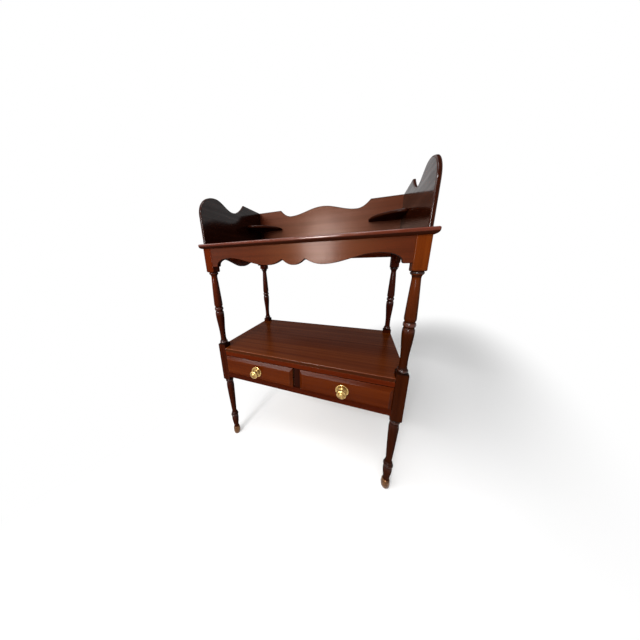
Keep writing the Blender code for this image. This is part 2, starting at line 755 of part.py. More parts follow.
# Drawer case
def make_shelf():
    """The board over the drawers, notched round the four legs."""
    out = HALF_WIDTH
    notch_x = INNER_HALF - FIT_GAP
    front = FRONT_Y
    back = BACK_Y
    notch_front = INNER_FRONT_Y + FIT_GAP
    notch_back = INNER_BACK_Y - FIT_GAP
    right = [
        (notch_x, back),
        (notch_x, notch_back),
        (out, notch_back),
        (out, notch_front),
        (notch_x, notch_front),
        (notch_x, front),
    ]
    outline = right + [(-across, along) for across, along in reversed(right)]
    thickness = SHELF_THICKNESS - FIT_GAP
    board_part("shelf_board", outline, "XY", SHELF_LOW + FIT_GAP, thickness, MAHOGANY)


def make_rail(name, low_z, high_z):
    half = INNER_HALF - FIT_GAP
    rail = box_part(name, (-half, FRONT_Y + REVEAL, low_z), (half, RAIL_BACK_Y, high_z), MAHOGANY)
    middle = (low_z + high_z) / 2
    low_y = FRONT_Y + TENON_SETBACK
    width = LEG_STOCK - TENON_SETBACK - TENON_THICKNESS
    low = middle - TENON_THICKNESS / 2
    tenon_across_x(rail, "front", low_y, low, low + TENON_THICKNESS, width)
    return rail


def make_case():
    upper = make_rail("upper_drawer_rail", UPPER_RAIL_LOW, SHELF_LOW)
    lower = make_rail("lower_drawer_rail", LOWER_RAIL_LOW, LOWER_RAIL_TOP)

    half = DIVIDER_WIDTH / 2
    front = FRONT_Y + REVEAL + DIVIDER_RECESS
    divider = box_part(
        "centre_divider",
        (-half, front, LOWER_RAIL_TOP + FIT_GAP),
        (half, RAIL_BACK_Y, UPPER_RAIL_LOW - FIT_GAP),
        MAHOGANY,
    )
    stub = TENON_THICKNESS / 2
    stub_front = front + TENON_SHOULDER
    stub_back = RAIL_BACK_Y - TENON_SHOULDER
    spans = (
        (lower, LOWER_RAIL_TOP - DIVIDER_STUB, LOWER_RAIL_TOP + TENON_ROOT),
        (upper, UPPER_RAIL_LOW - TENON_ROOT, UPPER_RAIL_LOW + DIVIDER_STUB),
    )
    for rail, low_z, high_z in spans:
        tenon(divider, rail, (-stub, stub_front, low_z), (stub, stub_back, high_z))

    panel_low = LOWER_RAIL_LOW
    tenon_low = panel_low + TENON_SHOULDER
    tenon_high = SHELF_LOW - TENON_SHOULDER
    for side_name, side in SIDES.items():
        faces = sorted((side * CASE_SIDE_FACE, side * (HALF_WIDTH - REVEAL)))
        panel = box_part(
            f"{side_name}_case_side",
            (faces[0], INNER_FRONT_Y + FIT_GAP, panel_low),
            (faces[1], INNER_BACK_Y - FIT_GAP, SHELF_LOW),
            MAHOGANY,
        )
        tenon_across_y(panel, side_name, tenon_low, tenon_high)

    half = INNER_HALF - FIT_GAP
    back = box_part(
        "case_back",
        (-half, CASE_BACK_FACE_Y, panel_low),
        (half, BACK_Y - REVEAL, SHELF_LOW),
        MAHOGANY,
    )
    back_tenon = (CASE_BACK_THICKNESS - TENON_THICKNESS) / 2
    tenon_across_x(back, "back", CASE_BACK_FACE_Y + back_tenon, tenon_low, tenon_high)


def make_runners():
    """Runners carry the drawer sides and guide them, and kickers above keep an open drawer level."""
    ledge_low = LOWER_RAIL_TOP - RUNNER_THICKNESS
    guide_top = LOWER_RAIL_TOP + GUIDE_HEIGHT
    start = RAIL_BACK_Y + FIT_GAP
    outer_end = INNER_BACK_Y - FIT_GAP
    outer_start = max(start, INNER_FRONT_Y + FIT_GAP)
    wall = CASE_SIDE_FACE - FIT_GAP
    for side_name, side in SIDES.items():
        section = [
            (wall, ledge_low),
            (wall, guide_top),
            (INNER_HALF, guide_top),
            (INNER_HALF, LOWER_RAIL_TOP),
            (INNER_HALF - RUNNER_LEDGE, LOWER_RAIL_TOP),
            (INNER_HALF - RUNNER_LEDGE, ledge_low),
        ]
        section = [(side * across, up) for across, up in section]
        length = outer_end - outer_start
        board_part(f"{side_name}_runner", section, "XZ", outer_start, length, LINING)
        faces = sorted((side * wall, side * (INNER_HALF - RUNNER_LEDGE)))
        kicker_low = (faces[0], outer_start, UPPER_RAIL_LOW)
        kicker_high = (faces[1], outer_end, SHELF_LOW)
        box_part(f"{side_name}_kicker", kicker_low, kicker_high, LINING)

    rib = DIVIDER_WIDTH / 2
    foot = rib + RUNNER_LEDGE
    half_section = [
        (foot, ledge_low),
        (foot, LOWER_RAIL_TOP),
        (rib, LOWER_RAIL_TOP),
        (rib, guide_top),
    ]
    end = CASE_BACK_FACE_Y - FIT_GAP
    board_part("centre_runner", mirrored(half_section), "XZ", start, end - start, LINING)
    box_part("centre_kicker", (-foot, start, UPPER_RAIL_LOW), (foot, end, SHELF_LOW), LINING)

    stop_front = FRONT_Y + DRAWER_FRONT_THICKNESS + FIT_GAP
    stop_low = LOWER_RAIL_TOP + FIT_GAP
    for side_name, side in SIDES.items():
        middle = side * (DIVIDER_WIDTH / 2 + OPENING_WIDTH / 2)
        low = (middle - STOP_LENGTH / 2, stop_front, stop_low)
        high = (middle + STOP_LENGTH / 2, stop_front + STOP_DEPTH, stop_low + STOP_HEIGHT)
        box_part(f"{side_name}_drawer_stop", low, high, LINING)


make_shelf()
make_case()
make_runners()


# Drawers: each is built round an empty at the foot of its front, on the line that it slides along
def tail_spans(low, high):
    """The root of each dovetail between two heights, as pairs in rising order."""
    room = high - low - 2 * TAIL_MARGIN - (TAIL_COUNT - 1) * PIN_WIDTH
    width = room / TAIL_COUNT
    starts = [low + TAIL_MARGIN + index * (width + PIN_WIDTH) for index in range(TAIL_COUNT)]
    return [(start, start + width) for start in starts]


def tail_outline(root, end, low, high, gap=0.0):
    """One dovetail, seen from the side: narrow at its root and wide at its end."""
    outward = math.copysign(gap, end - root)
    return [
        (root - outward, low - gap),
        (end + outward, low - TAIL_FLARE - gap),
        (end + outward, high + TAIL_FLARE + gap),
        (root - outward, high + gap),
    ]


def make_drawer(side_name):
    side = SIDES[side_name]
    slide = bpy.data.objects.new(f"{side_name}_drawer_slide", None)
    PARTS.objects.link(slide)
    middle = side * (DIVIDER_WIDTH / 2 + OPENING_WIDTH / 2)
    slide.location = (middle, FRONT_Y, LOWER_RAIL_TOP + FIT_GAP)

    half = DRAWER_WIDTH / 2
    inner = half - DRAWER_SIDE_THICKNESS
    prefix = f"{side_name}_drawer"

    front_low = (-half, 0.0, 0.0)
    front_high = (half, DRAWER_FRONT_THICKNESS, DRAWER_HEIGHT)
    front = box_part(f"{prefix}_front", front_low, front_high, MAHOGANY, slide)
    shape = bmesh.new()
    shape.from_mesh(front.data)
    face = min(shape.faces, key=lambda side_face: side_face.calc_center_median().y)
    bmesh.ops.inset_region(shape, faces=[face], thickness=FIELD_BEVEL, depth=FIELD_RISE)
    shape.to_mesh(front.data)
    shape.free()

    side_top = DRAWER_HEIGHT - DRAWER_SIDE_DROP
    bottom_low = DRAWER_BOTTOM_RISE
    bottom_top = bottom_low + DRAWER_BOTTOM_THICKNESS
    back_low = bottom_top + FIT_GAP
    back_top = side_top - DRAWER_BACK_DROP
    back_face = DRAWER_LENGTH - DRAWER_BACK_THICKNESS
    back = box_part(
        f"{prefix}_back",
        (-half, back_face, back_low),
        (half, DRAWER_LENGTH, back_top),
        LINING,
        slide,
    )

    # The sides end in dovetails, half-blind into the front and right through the back
    front_root = DRAWER_FRONT_THICKNESS + FIT_GAP
    front_end = FRONT_LAP + FIT_GAP
    back_root = back_face - FIT_GAP
    front_tails = [
        tail_outline(front_root, front_end, low, high) for low, high in tail_spans(0.0, side_top)
    ]
    back_tails = [
        tail_outline(back_root, DRAWER_LENGTH, low, high)
        for low, high in tail_spans(back_low, back_top)
    ]
    outline = [(front_root, 0.0)]
    for tail in front_tails:
        outline += tail
    outline += [(front_root, side_top), (back_root, side_top)]
    for tail in reversed(back_tails):
        outline += list(reversed(tail))
    outline += [(back_root, 0.0)]

    groove = inner + GROOVE_DEPTH
    panel_low = (-groove, DRAWER_FRONT_THICKNESS - GROOVE_DEPTH, bottom_low)
    panel_high = (groove, DRAWER_LENGTH, bottom_top)
    box_part(f"{prefix}_bottom", panel_low, panel_high, LINING, slide)
    groove_low, groove_high = grown(panel_low, panel_high, FIT_GAP)
    groove_high.y += GROOVE_DEPTH
    groove_tool = box_tool(f"groove of {prefix}_bottom", groove_low, groove_high, slide)

    for hand_name, hand in SIDES.items():
        name = f"{prefix}_{hand_name}_side"
        low_x = min(hand * inner, hand * half)
        board = board_part(name, outline, "YZ", low_x, DRAWER_SIDE_THICKNESS, LINING, slide)
        boolean(board, groove_tool, "DIFFERENCE")
        span = sorted((hand * (inner - FIT_GAP), hand * (half + DRAWER_SIDE_THICKNESS)))
        sockets = [(front, front_root, front_end, low, high) for low, high in tail_spans(0.0, side_top)]
        sockets += [
            (back, back_root, DRAWER_LENGTH, low, high)
            for low, high in tail_spans(back_low, back_top)
        ]
        for index, (piece, root, end, low, high) in enumerate(sockets):
            socket = board_tool(
                f"socket {index} of {name}",
                tail_outline(root, end, low, high, FIT_GAP),
                "YZ",
                span[0],
                span[1] - span[0],
                slide,
            )
            boolean(piece, socket, "DIFFERENCE")
    boolean(front, groove_tool, "DIFFERENCE")
    make_knob(side_name, front, slide)


# Brass knob, its backplate and the screw that holds them from inside the drawer
def plate_profile():
    hole = SCREW_RADIUS + FIT_GAP
    points = [(hole, PLATE_THICKNESS), (PLATE_BOSS_RADIUS, PLATE_THICKNESS)]
    points += quarter(points[-1], (PLATE_STEP_RADIUS, 2 * PLATE_RIM), True)
    points += quarter(points[-1], (PLATE_RADIUS, PLATE_RIM / 2), True)
    points += [(PLATE_RADIUS, 0.0), (hole, 0.0)]
    return points


def knob_profile():
    hole = SCREW_RADIUS + FIT_GAP
    depth = SCREW_BITE + FIT_GAP
    face = KNOB_LENGTH - KNOB_BUTTON_RISE
    points = [(0.0, KNOB_LENGTH)]
    points += quarter(points[-1], (KNOB_BUTTON_RADIUS, face), False)
    points.append(((KNOB_BUTTON_RADIUS + KNOB_RADIUS) / 2, face))
    points += quarter(points[-1], (KNOB_RADIUS, KNOB_RIM_PLACE), False)
    points += quarter(points[-1], (KNOB_STEM, KNOB_RIM_PLACE / 2), True)
    points += quarter(points[-1], (KNOB_FOOT, 0.0), True)
    points += [(hole, 0.0), (hole, depth), (0.0, depth)]
    return points


def screw_profile(tip, seat):
    return [
        (0.0, tip),
        (SCREW_RADIUS, tip),
        (SCREW_RADIUS, seat),
        (SCREW_HEAD_RADIUS, seat),
        (SCREW_HEAD_RADIUS, seat - SCREW_HEAD_HEIGHT),
        (0.0, seat - SCREW_HEAD_HEIGHT),
    ]


def make_knob(side_name, front, slide):
    field_y = -FIELD_RISE
    height = DRAWER_HEIGHT / 2
    forward = (math.pi / 2, 0.0, 0.0)
    plate_y = field_y - FIT_GAP
    knob_y = plate_y - PLATE_THICKNESS - FIT_GAP
    inside = -(DRAWER_FRONT_THICKNESS + FIT_GAP - knob_y)
    pieces = (
        (f"{side_name}_knob_plate", plate_profile(), BRASS, True, plate_y),
        (f"{side_name}_knob", knob_profile(), BRASS, False, knob_y),
        (f"{side_name}_knob_screw", screw_profile(SCREW_BITE, inside), STEEL, False, knob_y),
    )
    for name, profile, material, closed, place in pieces:
        piece = turned_part(name, profile, material, closed, slide)
        piece.location = (0.0, place, height)
        piece.rotation_euler = forward
    drill_length = 2 * (DRAWER_FRONT_THICKNESS + FIELD_RISE)
    shape = bmesh.new()
    hole = SCREW_RADIUS + FIT_GAP
    bmesh.ops.create_cone(
        shape, cap_ends=True, segments=TURN_STEPS, radius1=hole, radius2=hole, depth=drill_length
    )
    mesh = bpy.data.meshes.new(f"screw hole of {front.name}")
    shape.to_mesh(mesh)
    shape.free()
    drill = add_tool(mesh.name, mesh, slide)
    drill.location = (0.0, (DRAWER_FRONT_THICKNESS - FIELD_RISE) / 2, height)
    drill.rotation_euler = forward
    boolean(front, drill, "DIFFERENCE")


for name in SIDES:
    make_drawer(name)
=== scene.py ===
import math
from functools import partial

import bmesh
import bpy
from mathutils import Matrix, Vector


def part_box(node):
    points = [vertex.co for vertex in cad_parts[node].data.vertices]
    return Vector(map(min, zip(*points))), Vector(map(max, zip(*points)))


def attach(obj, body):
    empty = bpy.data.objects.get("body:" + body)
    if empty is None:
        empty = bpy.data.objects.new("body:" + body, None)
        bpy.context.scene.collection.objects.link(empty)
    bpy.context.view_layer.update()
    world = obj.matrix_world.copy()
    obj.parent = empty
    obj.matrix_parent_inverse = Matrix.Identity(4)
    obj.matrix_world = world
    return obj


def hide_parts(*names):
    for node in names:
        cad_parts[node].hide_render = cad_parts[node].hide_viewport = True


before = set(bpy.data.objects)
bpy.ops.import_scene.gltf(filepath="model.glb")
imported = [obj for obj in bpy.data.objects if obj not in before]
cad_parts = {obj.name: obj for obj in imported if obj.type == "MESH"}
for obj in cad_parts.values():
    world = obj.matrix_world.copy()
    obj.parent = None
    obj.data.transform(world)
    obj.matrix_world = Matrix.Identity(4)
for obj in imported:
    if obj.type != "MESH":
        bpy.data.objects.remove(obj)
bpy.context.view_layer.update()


# Camera
# A very wide lens held close to the stand, to the right of its middle and level with the aprons.
# It looks down at the drawers and a little to the left.
EYE = Vector((0.1781, -0.5987, 0.7031))
TURN_LEFT = 0.3462
TILT_DOWN = 0.2630
LEAN = -0.0213


def add_object(name, data):
    thing = bpy.data.objects.new(name, data)
    bpy.context.scene.collection.objects.link(thing)
    return thing


lens = bpy.data.cameras.new("camera")
lens.sensor_width = 36.0
lens.lens = 9.570
lens.shift_x = 0.0296
lens.shift_y = -0.0158
lens.clip_start = 0.01
camera = add_object("camera", lens)
camera.matrix_world = (
    Matrix.Translation(EYE)
    @ Matrix.Rotation(TURN_LEFT, 4, "Z")
    @ Matrix.Rotation(math.pi / 2 - TILT_DOWN, 4, "X")
    @ Matrix.Rotation(LEAN, 4, "Z")
)
bpy.context.scene.camera = camera
bpy.context.scene.view_settings.view_transform = "Standard"


# Floor and studio light
# A pale studio floor that runs out into a white background. A tall window of light stands in front with
# a strip light over it, one softbox hangs overhead and one stands further off on the left.
WHITE = (1.0, 1.0, 1.0, 1.0)
FLOOR_COLOUR = (0.80, 0.80, 0.80, 1.0)
FLOOR_RADIUS = 14.0
FLOOR_SIDES = 64
FLOOR_LIFT = 0.15
SHADOW_CENTRE = (0.38, 0.27, 0.0)
SHADOW_TURN = (0.0, 0.0, -0.51)
SHADOW_SPREAD = (0.60, 1.80, 1.0)
SHADOW_REACH = 0.5
WHITE_REACH = 1.2
FILL_STRENGTH = 0.09


def add_node(tree, kind, inputs=None, **settings):
    """Adds a node. Its inputs are given by name or number, as plain values or as sockets to link."""
    node = tree.nodes.new(kind)
    for name, value in settings.items():
        setattr(node, name, value)
    for key, value in (inputs or {}).items():
        if isinstance(value, bpy.types.NodeSocket):
            tree.links.new(value, node.inputs[key])
        else:
            node.inputs[key].default_value = value
    return node


def calculate(tree, operation, *values):
    node = add_node(tree, "ShaderNodeMath", dict(enumerate(values)), operation=operation)
    return node.outputs[0]


def seen_directly(tree):
    """1 on rays from the camera, from reflections and through glass, 0 on rays that only carry light."""
    path = add_node(tree, "ShaderNodeLightPath")
    looks = calculate(tree, "MAXIMUM", path.outputs["Is Camera Ray"], path.outputs["Is Glossy Ray"])
    return calculate(tree, "MAXIMUM", looks, path.outputs["Is Transmission Ray"])


def light_studio():
    world = bpy.data.worlds.new("studio")
    bpy.context.scene.world = world
    world.use_nodes = True
    tree = world.node_tree
    tree.nodes.clear()
    fill = add_node(tree, "ShaderNodeBackground", {"Color": WHITE, "Strength": FILL_STRENGTH})
    backdrop = add_node(tree, "ShaderNodeBackground", {"Color": WHITE, "Strength": 1.0})
    shown = add_node(
        tree,
        "ShaderNodeMixShader",
        {0: seen_directly(tree), 1: fill.outputs[0], 2: backdrop.outputs[0]},
    )
    add_node(tree, "ShaderNodeOutputWorld", {"Surface": shown.outputs[0]})


def add_softbox(name, place, aim, width, height, power):
    data = bpy.data.lights.new(name, "AREA")
    data.shape = "RECTANGLE"
    data.size = width
    data.size_y = height
    data.energy = power
    lamp = add_object(name, data)
    lamp.location = place
    lamp.rotation_euler = (Vector(aim) - Vector(place)).to_track_quat("-Z", "Y").to_euler()


def new_material(name):
    """A material and its node tree, which is still empty."""
    material = bpy.data.materials.new(name)
    material.use_nodes = True
    material.node_tree.nodes.clear()
    return material, material.node_tree


def floor_material():
    """A pale floor that keeps the shadow near the stand and is plain white further out."""
    material, tree = new_material("pale_floor")
    seen = seen_directly(tree)
    place = add_node(tree, "ShaderNodeTexCoord").outputs["Object"]
    spread = add_node(
        tree,
        "ShaderNodeMapping",
        {"Vector": place, "Location": SHADOW_CENTRE, "Rotation": SHADOW_TURN, "Scale": SHADOW_SPREAD},
        vector_type="TEXTURE",
    ).outputs[0]
    distance = add_node(tree, "ShaderNodeVectorMath", {0: spread}, operation="LENGTH").outputs["Value"]
    far = add_node(
        tree,
        "ShaderNodeMapRange",
        {"Value": distance, "From Min": SHADOW_REACH, "From Max": WHITE_REACH},
        interpolation_type="SMOOTHSTEP",
    ).outputs["Result"]
    matt = add_node(tree, "ShaderNodeBsdfDiffuse", {"Color": FLOOR_COLOUR})
    lift = add_node(
        tree,
        "ShaderNodeEmission",
        {"Color": WHITE, "Strength": calculate(tree, "MULTIPLY", seen, FLOOR_LIFT)},
    )
    near = add_node(tree, "ShaderNodeAddShader", {0: matt.outputs[0], 1: lift.outputs[0]})
    white = add_node(tree, "ShaderNodeEmission", {"Color": WHITE, "Strength": 1.0})
    shown = add_node(
        tree,
        "ShaderNodeMixShader",
        {0: calculate(tree, "MULTIPLY", far, seen), 1: near.outputs[0], 2: white.outputs[0]},
    )
    add_node(tree, "ShaderNodeOutputMaterial", {"Surface": shown.outputs[0]})
    return material


def add_floor():
    shape = bmesh.new()
    bmesh.ops.create_circle(shape, cap_ends=True, segments=FLOOR_SIDES, radius=FLOOR_RADIUS)
    mesh = bpy.data.meshes.new("floor")
    shape.to_mesh(mesh)
    shape.free()
    mesh.materials.append(floor_material())
    floor = add_object("floor", mesh)


light_studio()
add_softbox("front_window", (-0.62, -3.00, 1.10), (0.0, 0.0, 0.75), width=0.52, height=0.86, power=90.0)
add_softbox("upper_strip", (-1.05, -2.40, 2.42), (-0.60, 0.0, 0.40), width=2.70, height=0.25, power=74.0)
add_softbox("left_softbox", (-4.40, -2.40, 3.40), (0.0, 0.0, 0.40), width=2.00, height=2.00, power=96.0)
add_softbox("overhead_softbox", (0.00, -0.90, 3.00), (0.0, 0.0, 0.40), width=1.20, height=1.20, power=33.0)
add_floor()


# Legs
# Four mahogany legs, each turned on a lathe from one square length. The blocks where rails, aprons and
# shelf join are left square, and the turning runs out into rounded shoulders under and over them.
TOP_BLOCK_LOW = 0.6826
CASE_BLOCK_TOP = 0.4265
CASE_BLOCK_LOW = 0.2760
POMMEL = 0.006  # height of a block's rounded shoulder
STOCK_ARRIS = 0.0011
FILLET = 0.0012  # the narrow flat on each side of a ring
RING_ROOT = 0.0104
RING_RADIUS = 0.0140
TOP_RING_HEIGHT = 0.007
NECK_RADIUS = 0.0092
NECK_COVE = 0.009
FLARE_STEP = 0.0012  # from the flared neck up to the ring under a block
SPINDLE_RADIUS = 0.0133
SPINDLE_SHOULDER = 0.009
MIDDLE_RING_LOW = 0.54975
MIDDLE_RING_HEIGHT = 0.0155
LOWER_SPINDLE_RADIUS = 0.0136
BASE_NECK_LOW = 0.4510
BASE_NECK_HIGH = 0.4600
BASE_RING_RADIUS = 0.0132
BASE_RING_ROOT = 0.0110
BASE_RING_HEIGHT = 0.0110
UNDER_RING_HEIGHT = 0.015
LEG_SHOULDER_RADIUS = 0.0132
LEG_SHOULDER_HEIGHT = 0.2390
ANKLE_RADIUS = 0.0084
ANKLE_HEIGHT = 0.1170
ANKLE_ROOT = 0.0094
SMALL_RING_LOW = 0.1050
SMALL_RING_HEIGHT = 0.007
SMALL_RING_RADIUS = 0.0115
ANKLE_RING_LOW = 0.0935
ANKLE_RING_HEIGHT = 0.0115
VASE_RADIUS = 0.0127
VASE_HEIGHT = 0.0810
TOE_RADIUS = 0.0086
TURN_STEPS = 96
CURVE_STEPS = 12
TURNED_SHARP = math.radians(40)  # a sharper turn than this shows as an edge
CORNER_WEAR = 0.12
CORNER_NARROWNESS = 400.0  # keeps that wear close to a block's corners
SAME_PLACE = 0.000005
NUDGE = 0.0001  # keeps a whole number from being rounded down

# Polished mahogany: a dark red-brown wood with straight streaks, lighter between them
MAHOGANY_DARK = (0.056, 0.0076, 0.0017)
MAHOGANY_MIDDLE = (0.080, 0.0120, 0.0026)
MAHOGANY_LIGHT = (0.104, 0.0178, 0.0038)
MAHOGANY_RELIEF = 0.10
GRAIN_DEPTH = 0.0001
BAND_STRETCH = (0.8, 15.0)  # features in a metre, along and across the grain
STREAK_STRETCH = (1.6, 105.0)
FIBRE_STRETCH = (7.0, 620.0)
PORE_STRETCH = (30.0, 1400.0)
LOG_SHIFT = (1.0, 3.7, 1.3)  # from one piece of the log to the next
PATCH_SCALE = 26.0
SMEAR_SCALE = 7.0
# The dark colour that sawn edges and the hollows of turnings are darkened towards
HOLLOW_AND_EDGE_DARK = (0.008, 0.0026, 0.0014, 1.0)
SHEEN_TINT = (1.0, 0.42, 0.16, 1.0)  # light thrown back by the fibres under the polish
EDGE_STAIN_AND_SHADE = 0.75  # how much darker a sawn edge is made: end grain that takes the stain, and painted shade under the tray's moulding and the aprons' arches
RUBBED_POLISH = 0.90
FOOT_RUBBING = 0.5  # how much of the rubbing reaches the turning under the case
# The legs are darkened towards the floor between these heights, a painted shade.
FLOOR_SHADE_LOW = 0.52
FLOOR_SHADE_HIGH = 0.74
GRAIN_TURN = {
    "X": (0.0, 0.0, 0.0),
    "Y": (0.0, 0.0, -math.pi / 2),
    "Z": (0.0, math.pi / 2, 0.0),
}


def new_group(name, kind, inputs, outputs):
    """A node group with named sockets, and the sockets that bring its inputs in."""
    group = bpy.data.node_groups.new(name, kind)
    for way, sockets in (("INPUT", inputs), ("OUTPUT", outputs)):
        for label, socket in sockets.items():
            group.interface.new_socket(label, in_out=way, socket_type=f"NodeSocket{socket}")
    return group, add_node(group, "NodeGroupInput").outputs


def noise(tree, vector, scale, detail, distortion=0.0):
    inputs = {"Vector": vector, "Scale": scale, "Detail": detail, "Distortion": distortion}
    return add_node(tree, "ShaderNodeTexNoise", inputs).outputs["Fac"]


def stretched_noise(tree, vector, stretch, detail, distortion=0.0):
    """Noise drawn out along X: stretch gives how many features a metre holds along and across the grain."""
    along, across = stretch
    placed = add_node(tree, "ShaderNodeMapping", {"Vector": vector, "Scale": (along, across, across)})
    return noise(tree, placed.outputs[0], 1.0, detail, distortion)


def ranged(tree, value, low, high, new_low=0.0, new_high=1.0):
    inputs = {"Value": value, "From Min": low, "From Max": high, "To Min": new_low, "To Max": new_high}
    return add_node(tree, "ShaderNodeMapRange", inputs).outputs["Result"]


def blended(tree, mode, share, first, second):
    inputs = {0: share, 6: first, 7: second}
    return add_node(tree, "ShaderNodeMix", inputs, data_type="RGBA", blend_type=mode).outputs[2]


def stored_share(tree, name):
    """A share from 0 to 1 that the mesh carries, such as how worn it is."""
    return add_node(tree, "ShaderNodeAttribute", attribute_name=name).outputs["Fac"]


def wood_figure_group():
    """Straight grain along X: broad bands of tone, narrow streaks, fibres and fine dark pores."""
    group, ins = new_group(
        "wood_figure",
        "ShaderNodeTree",
        {"Vector": "Vector", "Dark": "Color", "Middle": "Color", "Light": "Color", "Roughness": "Float"},
        {"Color": "Color", "Roughness": "Float", "Gloss": "Float", "Height": "Float"},
    )
    maths = partial(calculate, group)
    vector = ins["Vector"]
    bands = stretched_noise(group, vector, BAND_STRETCH, detail=2.0, distortion=0.4)
    streaks = stretched_noise(group, vector, STREAK_STRETCH, detail=4.0, distortion=0.3)
    fibres = stretched_noise(group, vector, FIBRE_STRETCH, detail=3.0)
    pores = ranged(group, stretched_noise(group, vector, PORE_STRETCH, detail=1.0), 0.60, 0.74)
    figure = maths("MULTIPLY_ADD", bands, 0.35, maths("MULTIPLY", streaks, 0.45))
    figure = maths("MULTIPLY_ADD", fibres, 0.20, figure)
    dark = blended(group, "MIX", ranged(group, figure, 0.38, 0.50), ins["Dark"], ins["Middle"])
    tone = blended(group, "MIX", ranged(group, figure, 0.50, 0.62), dark, ins["Light"])
    colour = blended(group, "MIX", maths("MULTIPLY", pores, 0.45), tone, ins["Dark"])
    uneven = maths("MULTIPLY_ADD", pores, 0.12, ranged(group, fibres, 0.3, 0.7, -0.06, 0.06))
    rough = maths("ADD", ins["Roughness"], uneven)
    gloss = maths("MULTIPLY_ADD", pores, -0.4, ranged(group, streaks, 0.35, 0.65, 0.86, 1.14))
    height = maths("SUBTRACT", maths("MULTIPLY", fibres, 0.5), pores)
    outputs = {"Color": colour, "Roughness": rough, "Gloss": gloss, "Height": height}
    add_node(group, "NodeGroupOutput", outputs)
    return group


def handled_finish_group():
    """What the finish shows: sawn edges darkened as end grain and, under the tray and the aprons, as painted
    shade; darker, duller hollows; rubbed arrises and dulled smears.
    """
    group, ins = new_group(
        "handled_finish",
        "ShaderNodeTree",
        {"Vector": "Vector", "Color": "Color", "Roughness": "Float", "Polish": "Float", "Darkening": "Color"},
        {"Color": "Color", "Roughness": "Float", "Polish": "Float"},
    )
    maths = partial(calculate, group)
    hollow, worn, end_grain_and_shade = (stored_share(group, name) for name in ("hollow", "worn", "end_grain_and_shade"))
    patches = noise(group, ins["Vector"], PATCH_SCALE, detail=4.0)
    smears = noise(group, ins["Vector"], SMEAR_SCALE, detail=3.0)
    # Hollows are made darker and their polish duller.
    hollow_dark = maths("MULTIPLY", hollow, ranged(group, patches, 0.25, 0.65, 0.50, 0.95))
    rubbed = maths("MULTIPLY", worn, ranged(group, patches, 0.35, 0.65, 0.4, 1.0))
    darkened_edge = maths("MULTIPLY", end_grain_and_shade, EDGE_STAIN_AND_SHADE)
    colour = blended(group, "MIX", darkened_edge, ins["Color"], ins["Darkening"])
    paler = blended(group, "ADD", 0.35, colour, colour)
    colour = blended(group, "MIX", rubbed, colour, paler)
    colour = blended(group, "MIX", hollow_dark, colour, ins["Darkening"])
    rough = maths("ADD", ins["Roughness"], ranged(group, smears, 0.35, 0.70, -0.03, 0.08))
    clean = maths("MULTIPLY_ADD", hollow_dark, -0.7, ranged(group, smears, 0.40, 0.70, 1.0, 0.75))
    taken = maths("MULTIPLY_ADD", end_grain_and_shade, -0.7, 1.0)
    polish = maths("MULTIPLY", maths("MULTIPLY", ins["Polish"], clean), taken)
    polish = maths("MULTIPLY_ADD", rubbed, RUBBED_POLISH, polish)
    add_node(group, "NodeGroupOutput", {"Color": colour, "Roughness": rough, "Polish": polish})
    return group


WOOD_FIGURE = wood_figure_group()
HANDLED_FINISH = handled_finish_group()


def wood_material(
    name,
    grain,
    offset,
    colours,
    tone,
    sheen=0.0,
    roughness=0.42,
    polish=0.08,
    polish_roughness=0.12,
    relief=MAHOGANY_RELIEF,
    foot_tone=1.0,
):
    """A wood whose grain runs along one axis. The offset picks another part of the same log.

    The sheen is the warm gloss of the fibres, and the polish is the clear coat over them. Where a floor
    shade is given, the wood is darkened towards the floor, a painted shade.
    """
    material, tree = new_material(name)
    place = add_node(tree, "ShaderNodeTexCoord").outputs["Object"]
    shift = tuple(offset * part for part in LOG_SHIFT)
    along = add_node(
        tree,
        "ShaderNodeMapping",
        {"Vector": place, "Rotation": GRAIN_TURN[grain], "Location": shift},
    ).outputs[0]
    dark, middle, light = (
        tuple(part * share for part, share in zip(colour, tone)) + (1.0,) for colour in colours
    )
    figure = add_node(
        tree,
        "ShaderNodeGroup",
        {"Vector": along, "Dark": dark, "Middle": middle, "Light": light, "Roughness": roughness},
        node_tree=WOOD_FIGURE,
    ).outputs
    colour = figure["Color"]
    # Painted shade: the colour darkens towards the floor.
    if foot_tone < 1.0:
        height = add_node(tree, "ShaderNodeSeparateXYZ", {0: place}).outputs["Z"]
        share = ranged(tree, height, FLOOR_SHADE_LOW, FLOOR_SHADE_HIGH, foot_tone, 1.0)
        scaled = add_node(tree, "ShaderNodeVectorMath", {0: colour, "Scale": share}, operation="SCALE")
        colour = scaled.outputs["Vector"]
    finish = add_node(
        tree,
        "ShaderNodeGroup",
        {
            "Vector": along,
            "Color": colour,
            "Roughness": figure["Roughness"],
            "Polish": calculate(tree, "MULTIPLY", figure["Gloss"], polish),
            "Darkening": HOLLOW_AND_EDGE_DARK,
        },
        node_tree=HANDLED_FINISH,
    ).outputs
    bump = add_node(
        tree,
        "ShaderNodeBump",
        {"Height": figure["Height"], "Strength": relief, "Distance": GRAIN_DEPTH},
    )
    shader = add_node(
        tree,
        "ShaderNodeBsdfPrincipled",
        {
            "Base Color": finish["Color"],
            "Roughness": finish["Roughness"],
            "Normal": bump.outputs["Normal"],
            "Specular IOR Level": sheen,
            "Specular Tint": SHEEN_TINT,
            "Coat Weight": finish["Polish"],
            "Coat Roughness": polish_roughness,
        },
    )
    add_node(tree, "ShaderNodeOutputMaterial", {"Surface": shader.outputs[0]})
    return material


def mahogany(name, grain, offset, tone=(1.0, 1.0, 1.0), **finish):
    colours = (MAHOGANY_DARK, MAHOGANY_MIDDLE, MAHOGANY_LIGHT)
    return wood_material(f"mahogany_{name}", grain, offset, colours, tone, **finish)


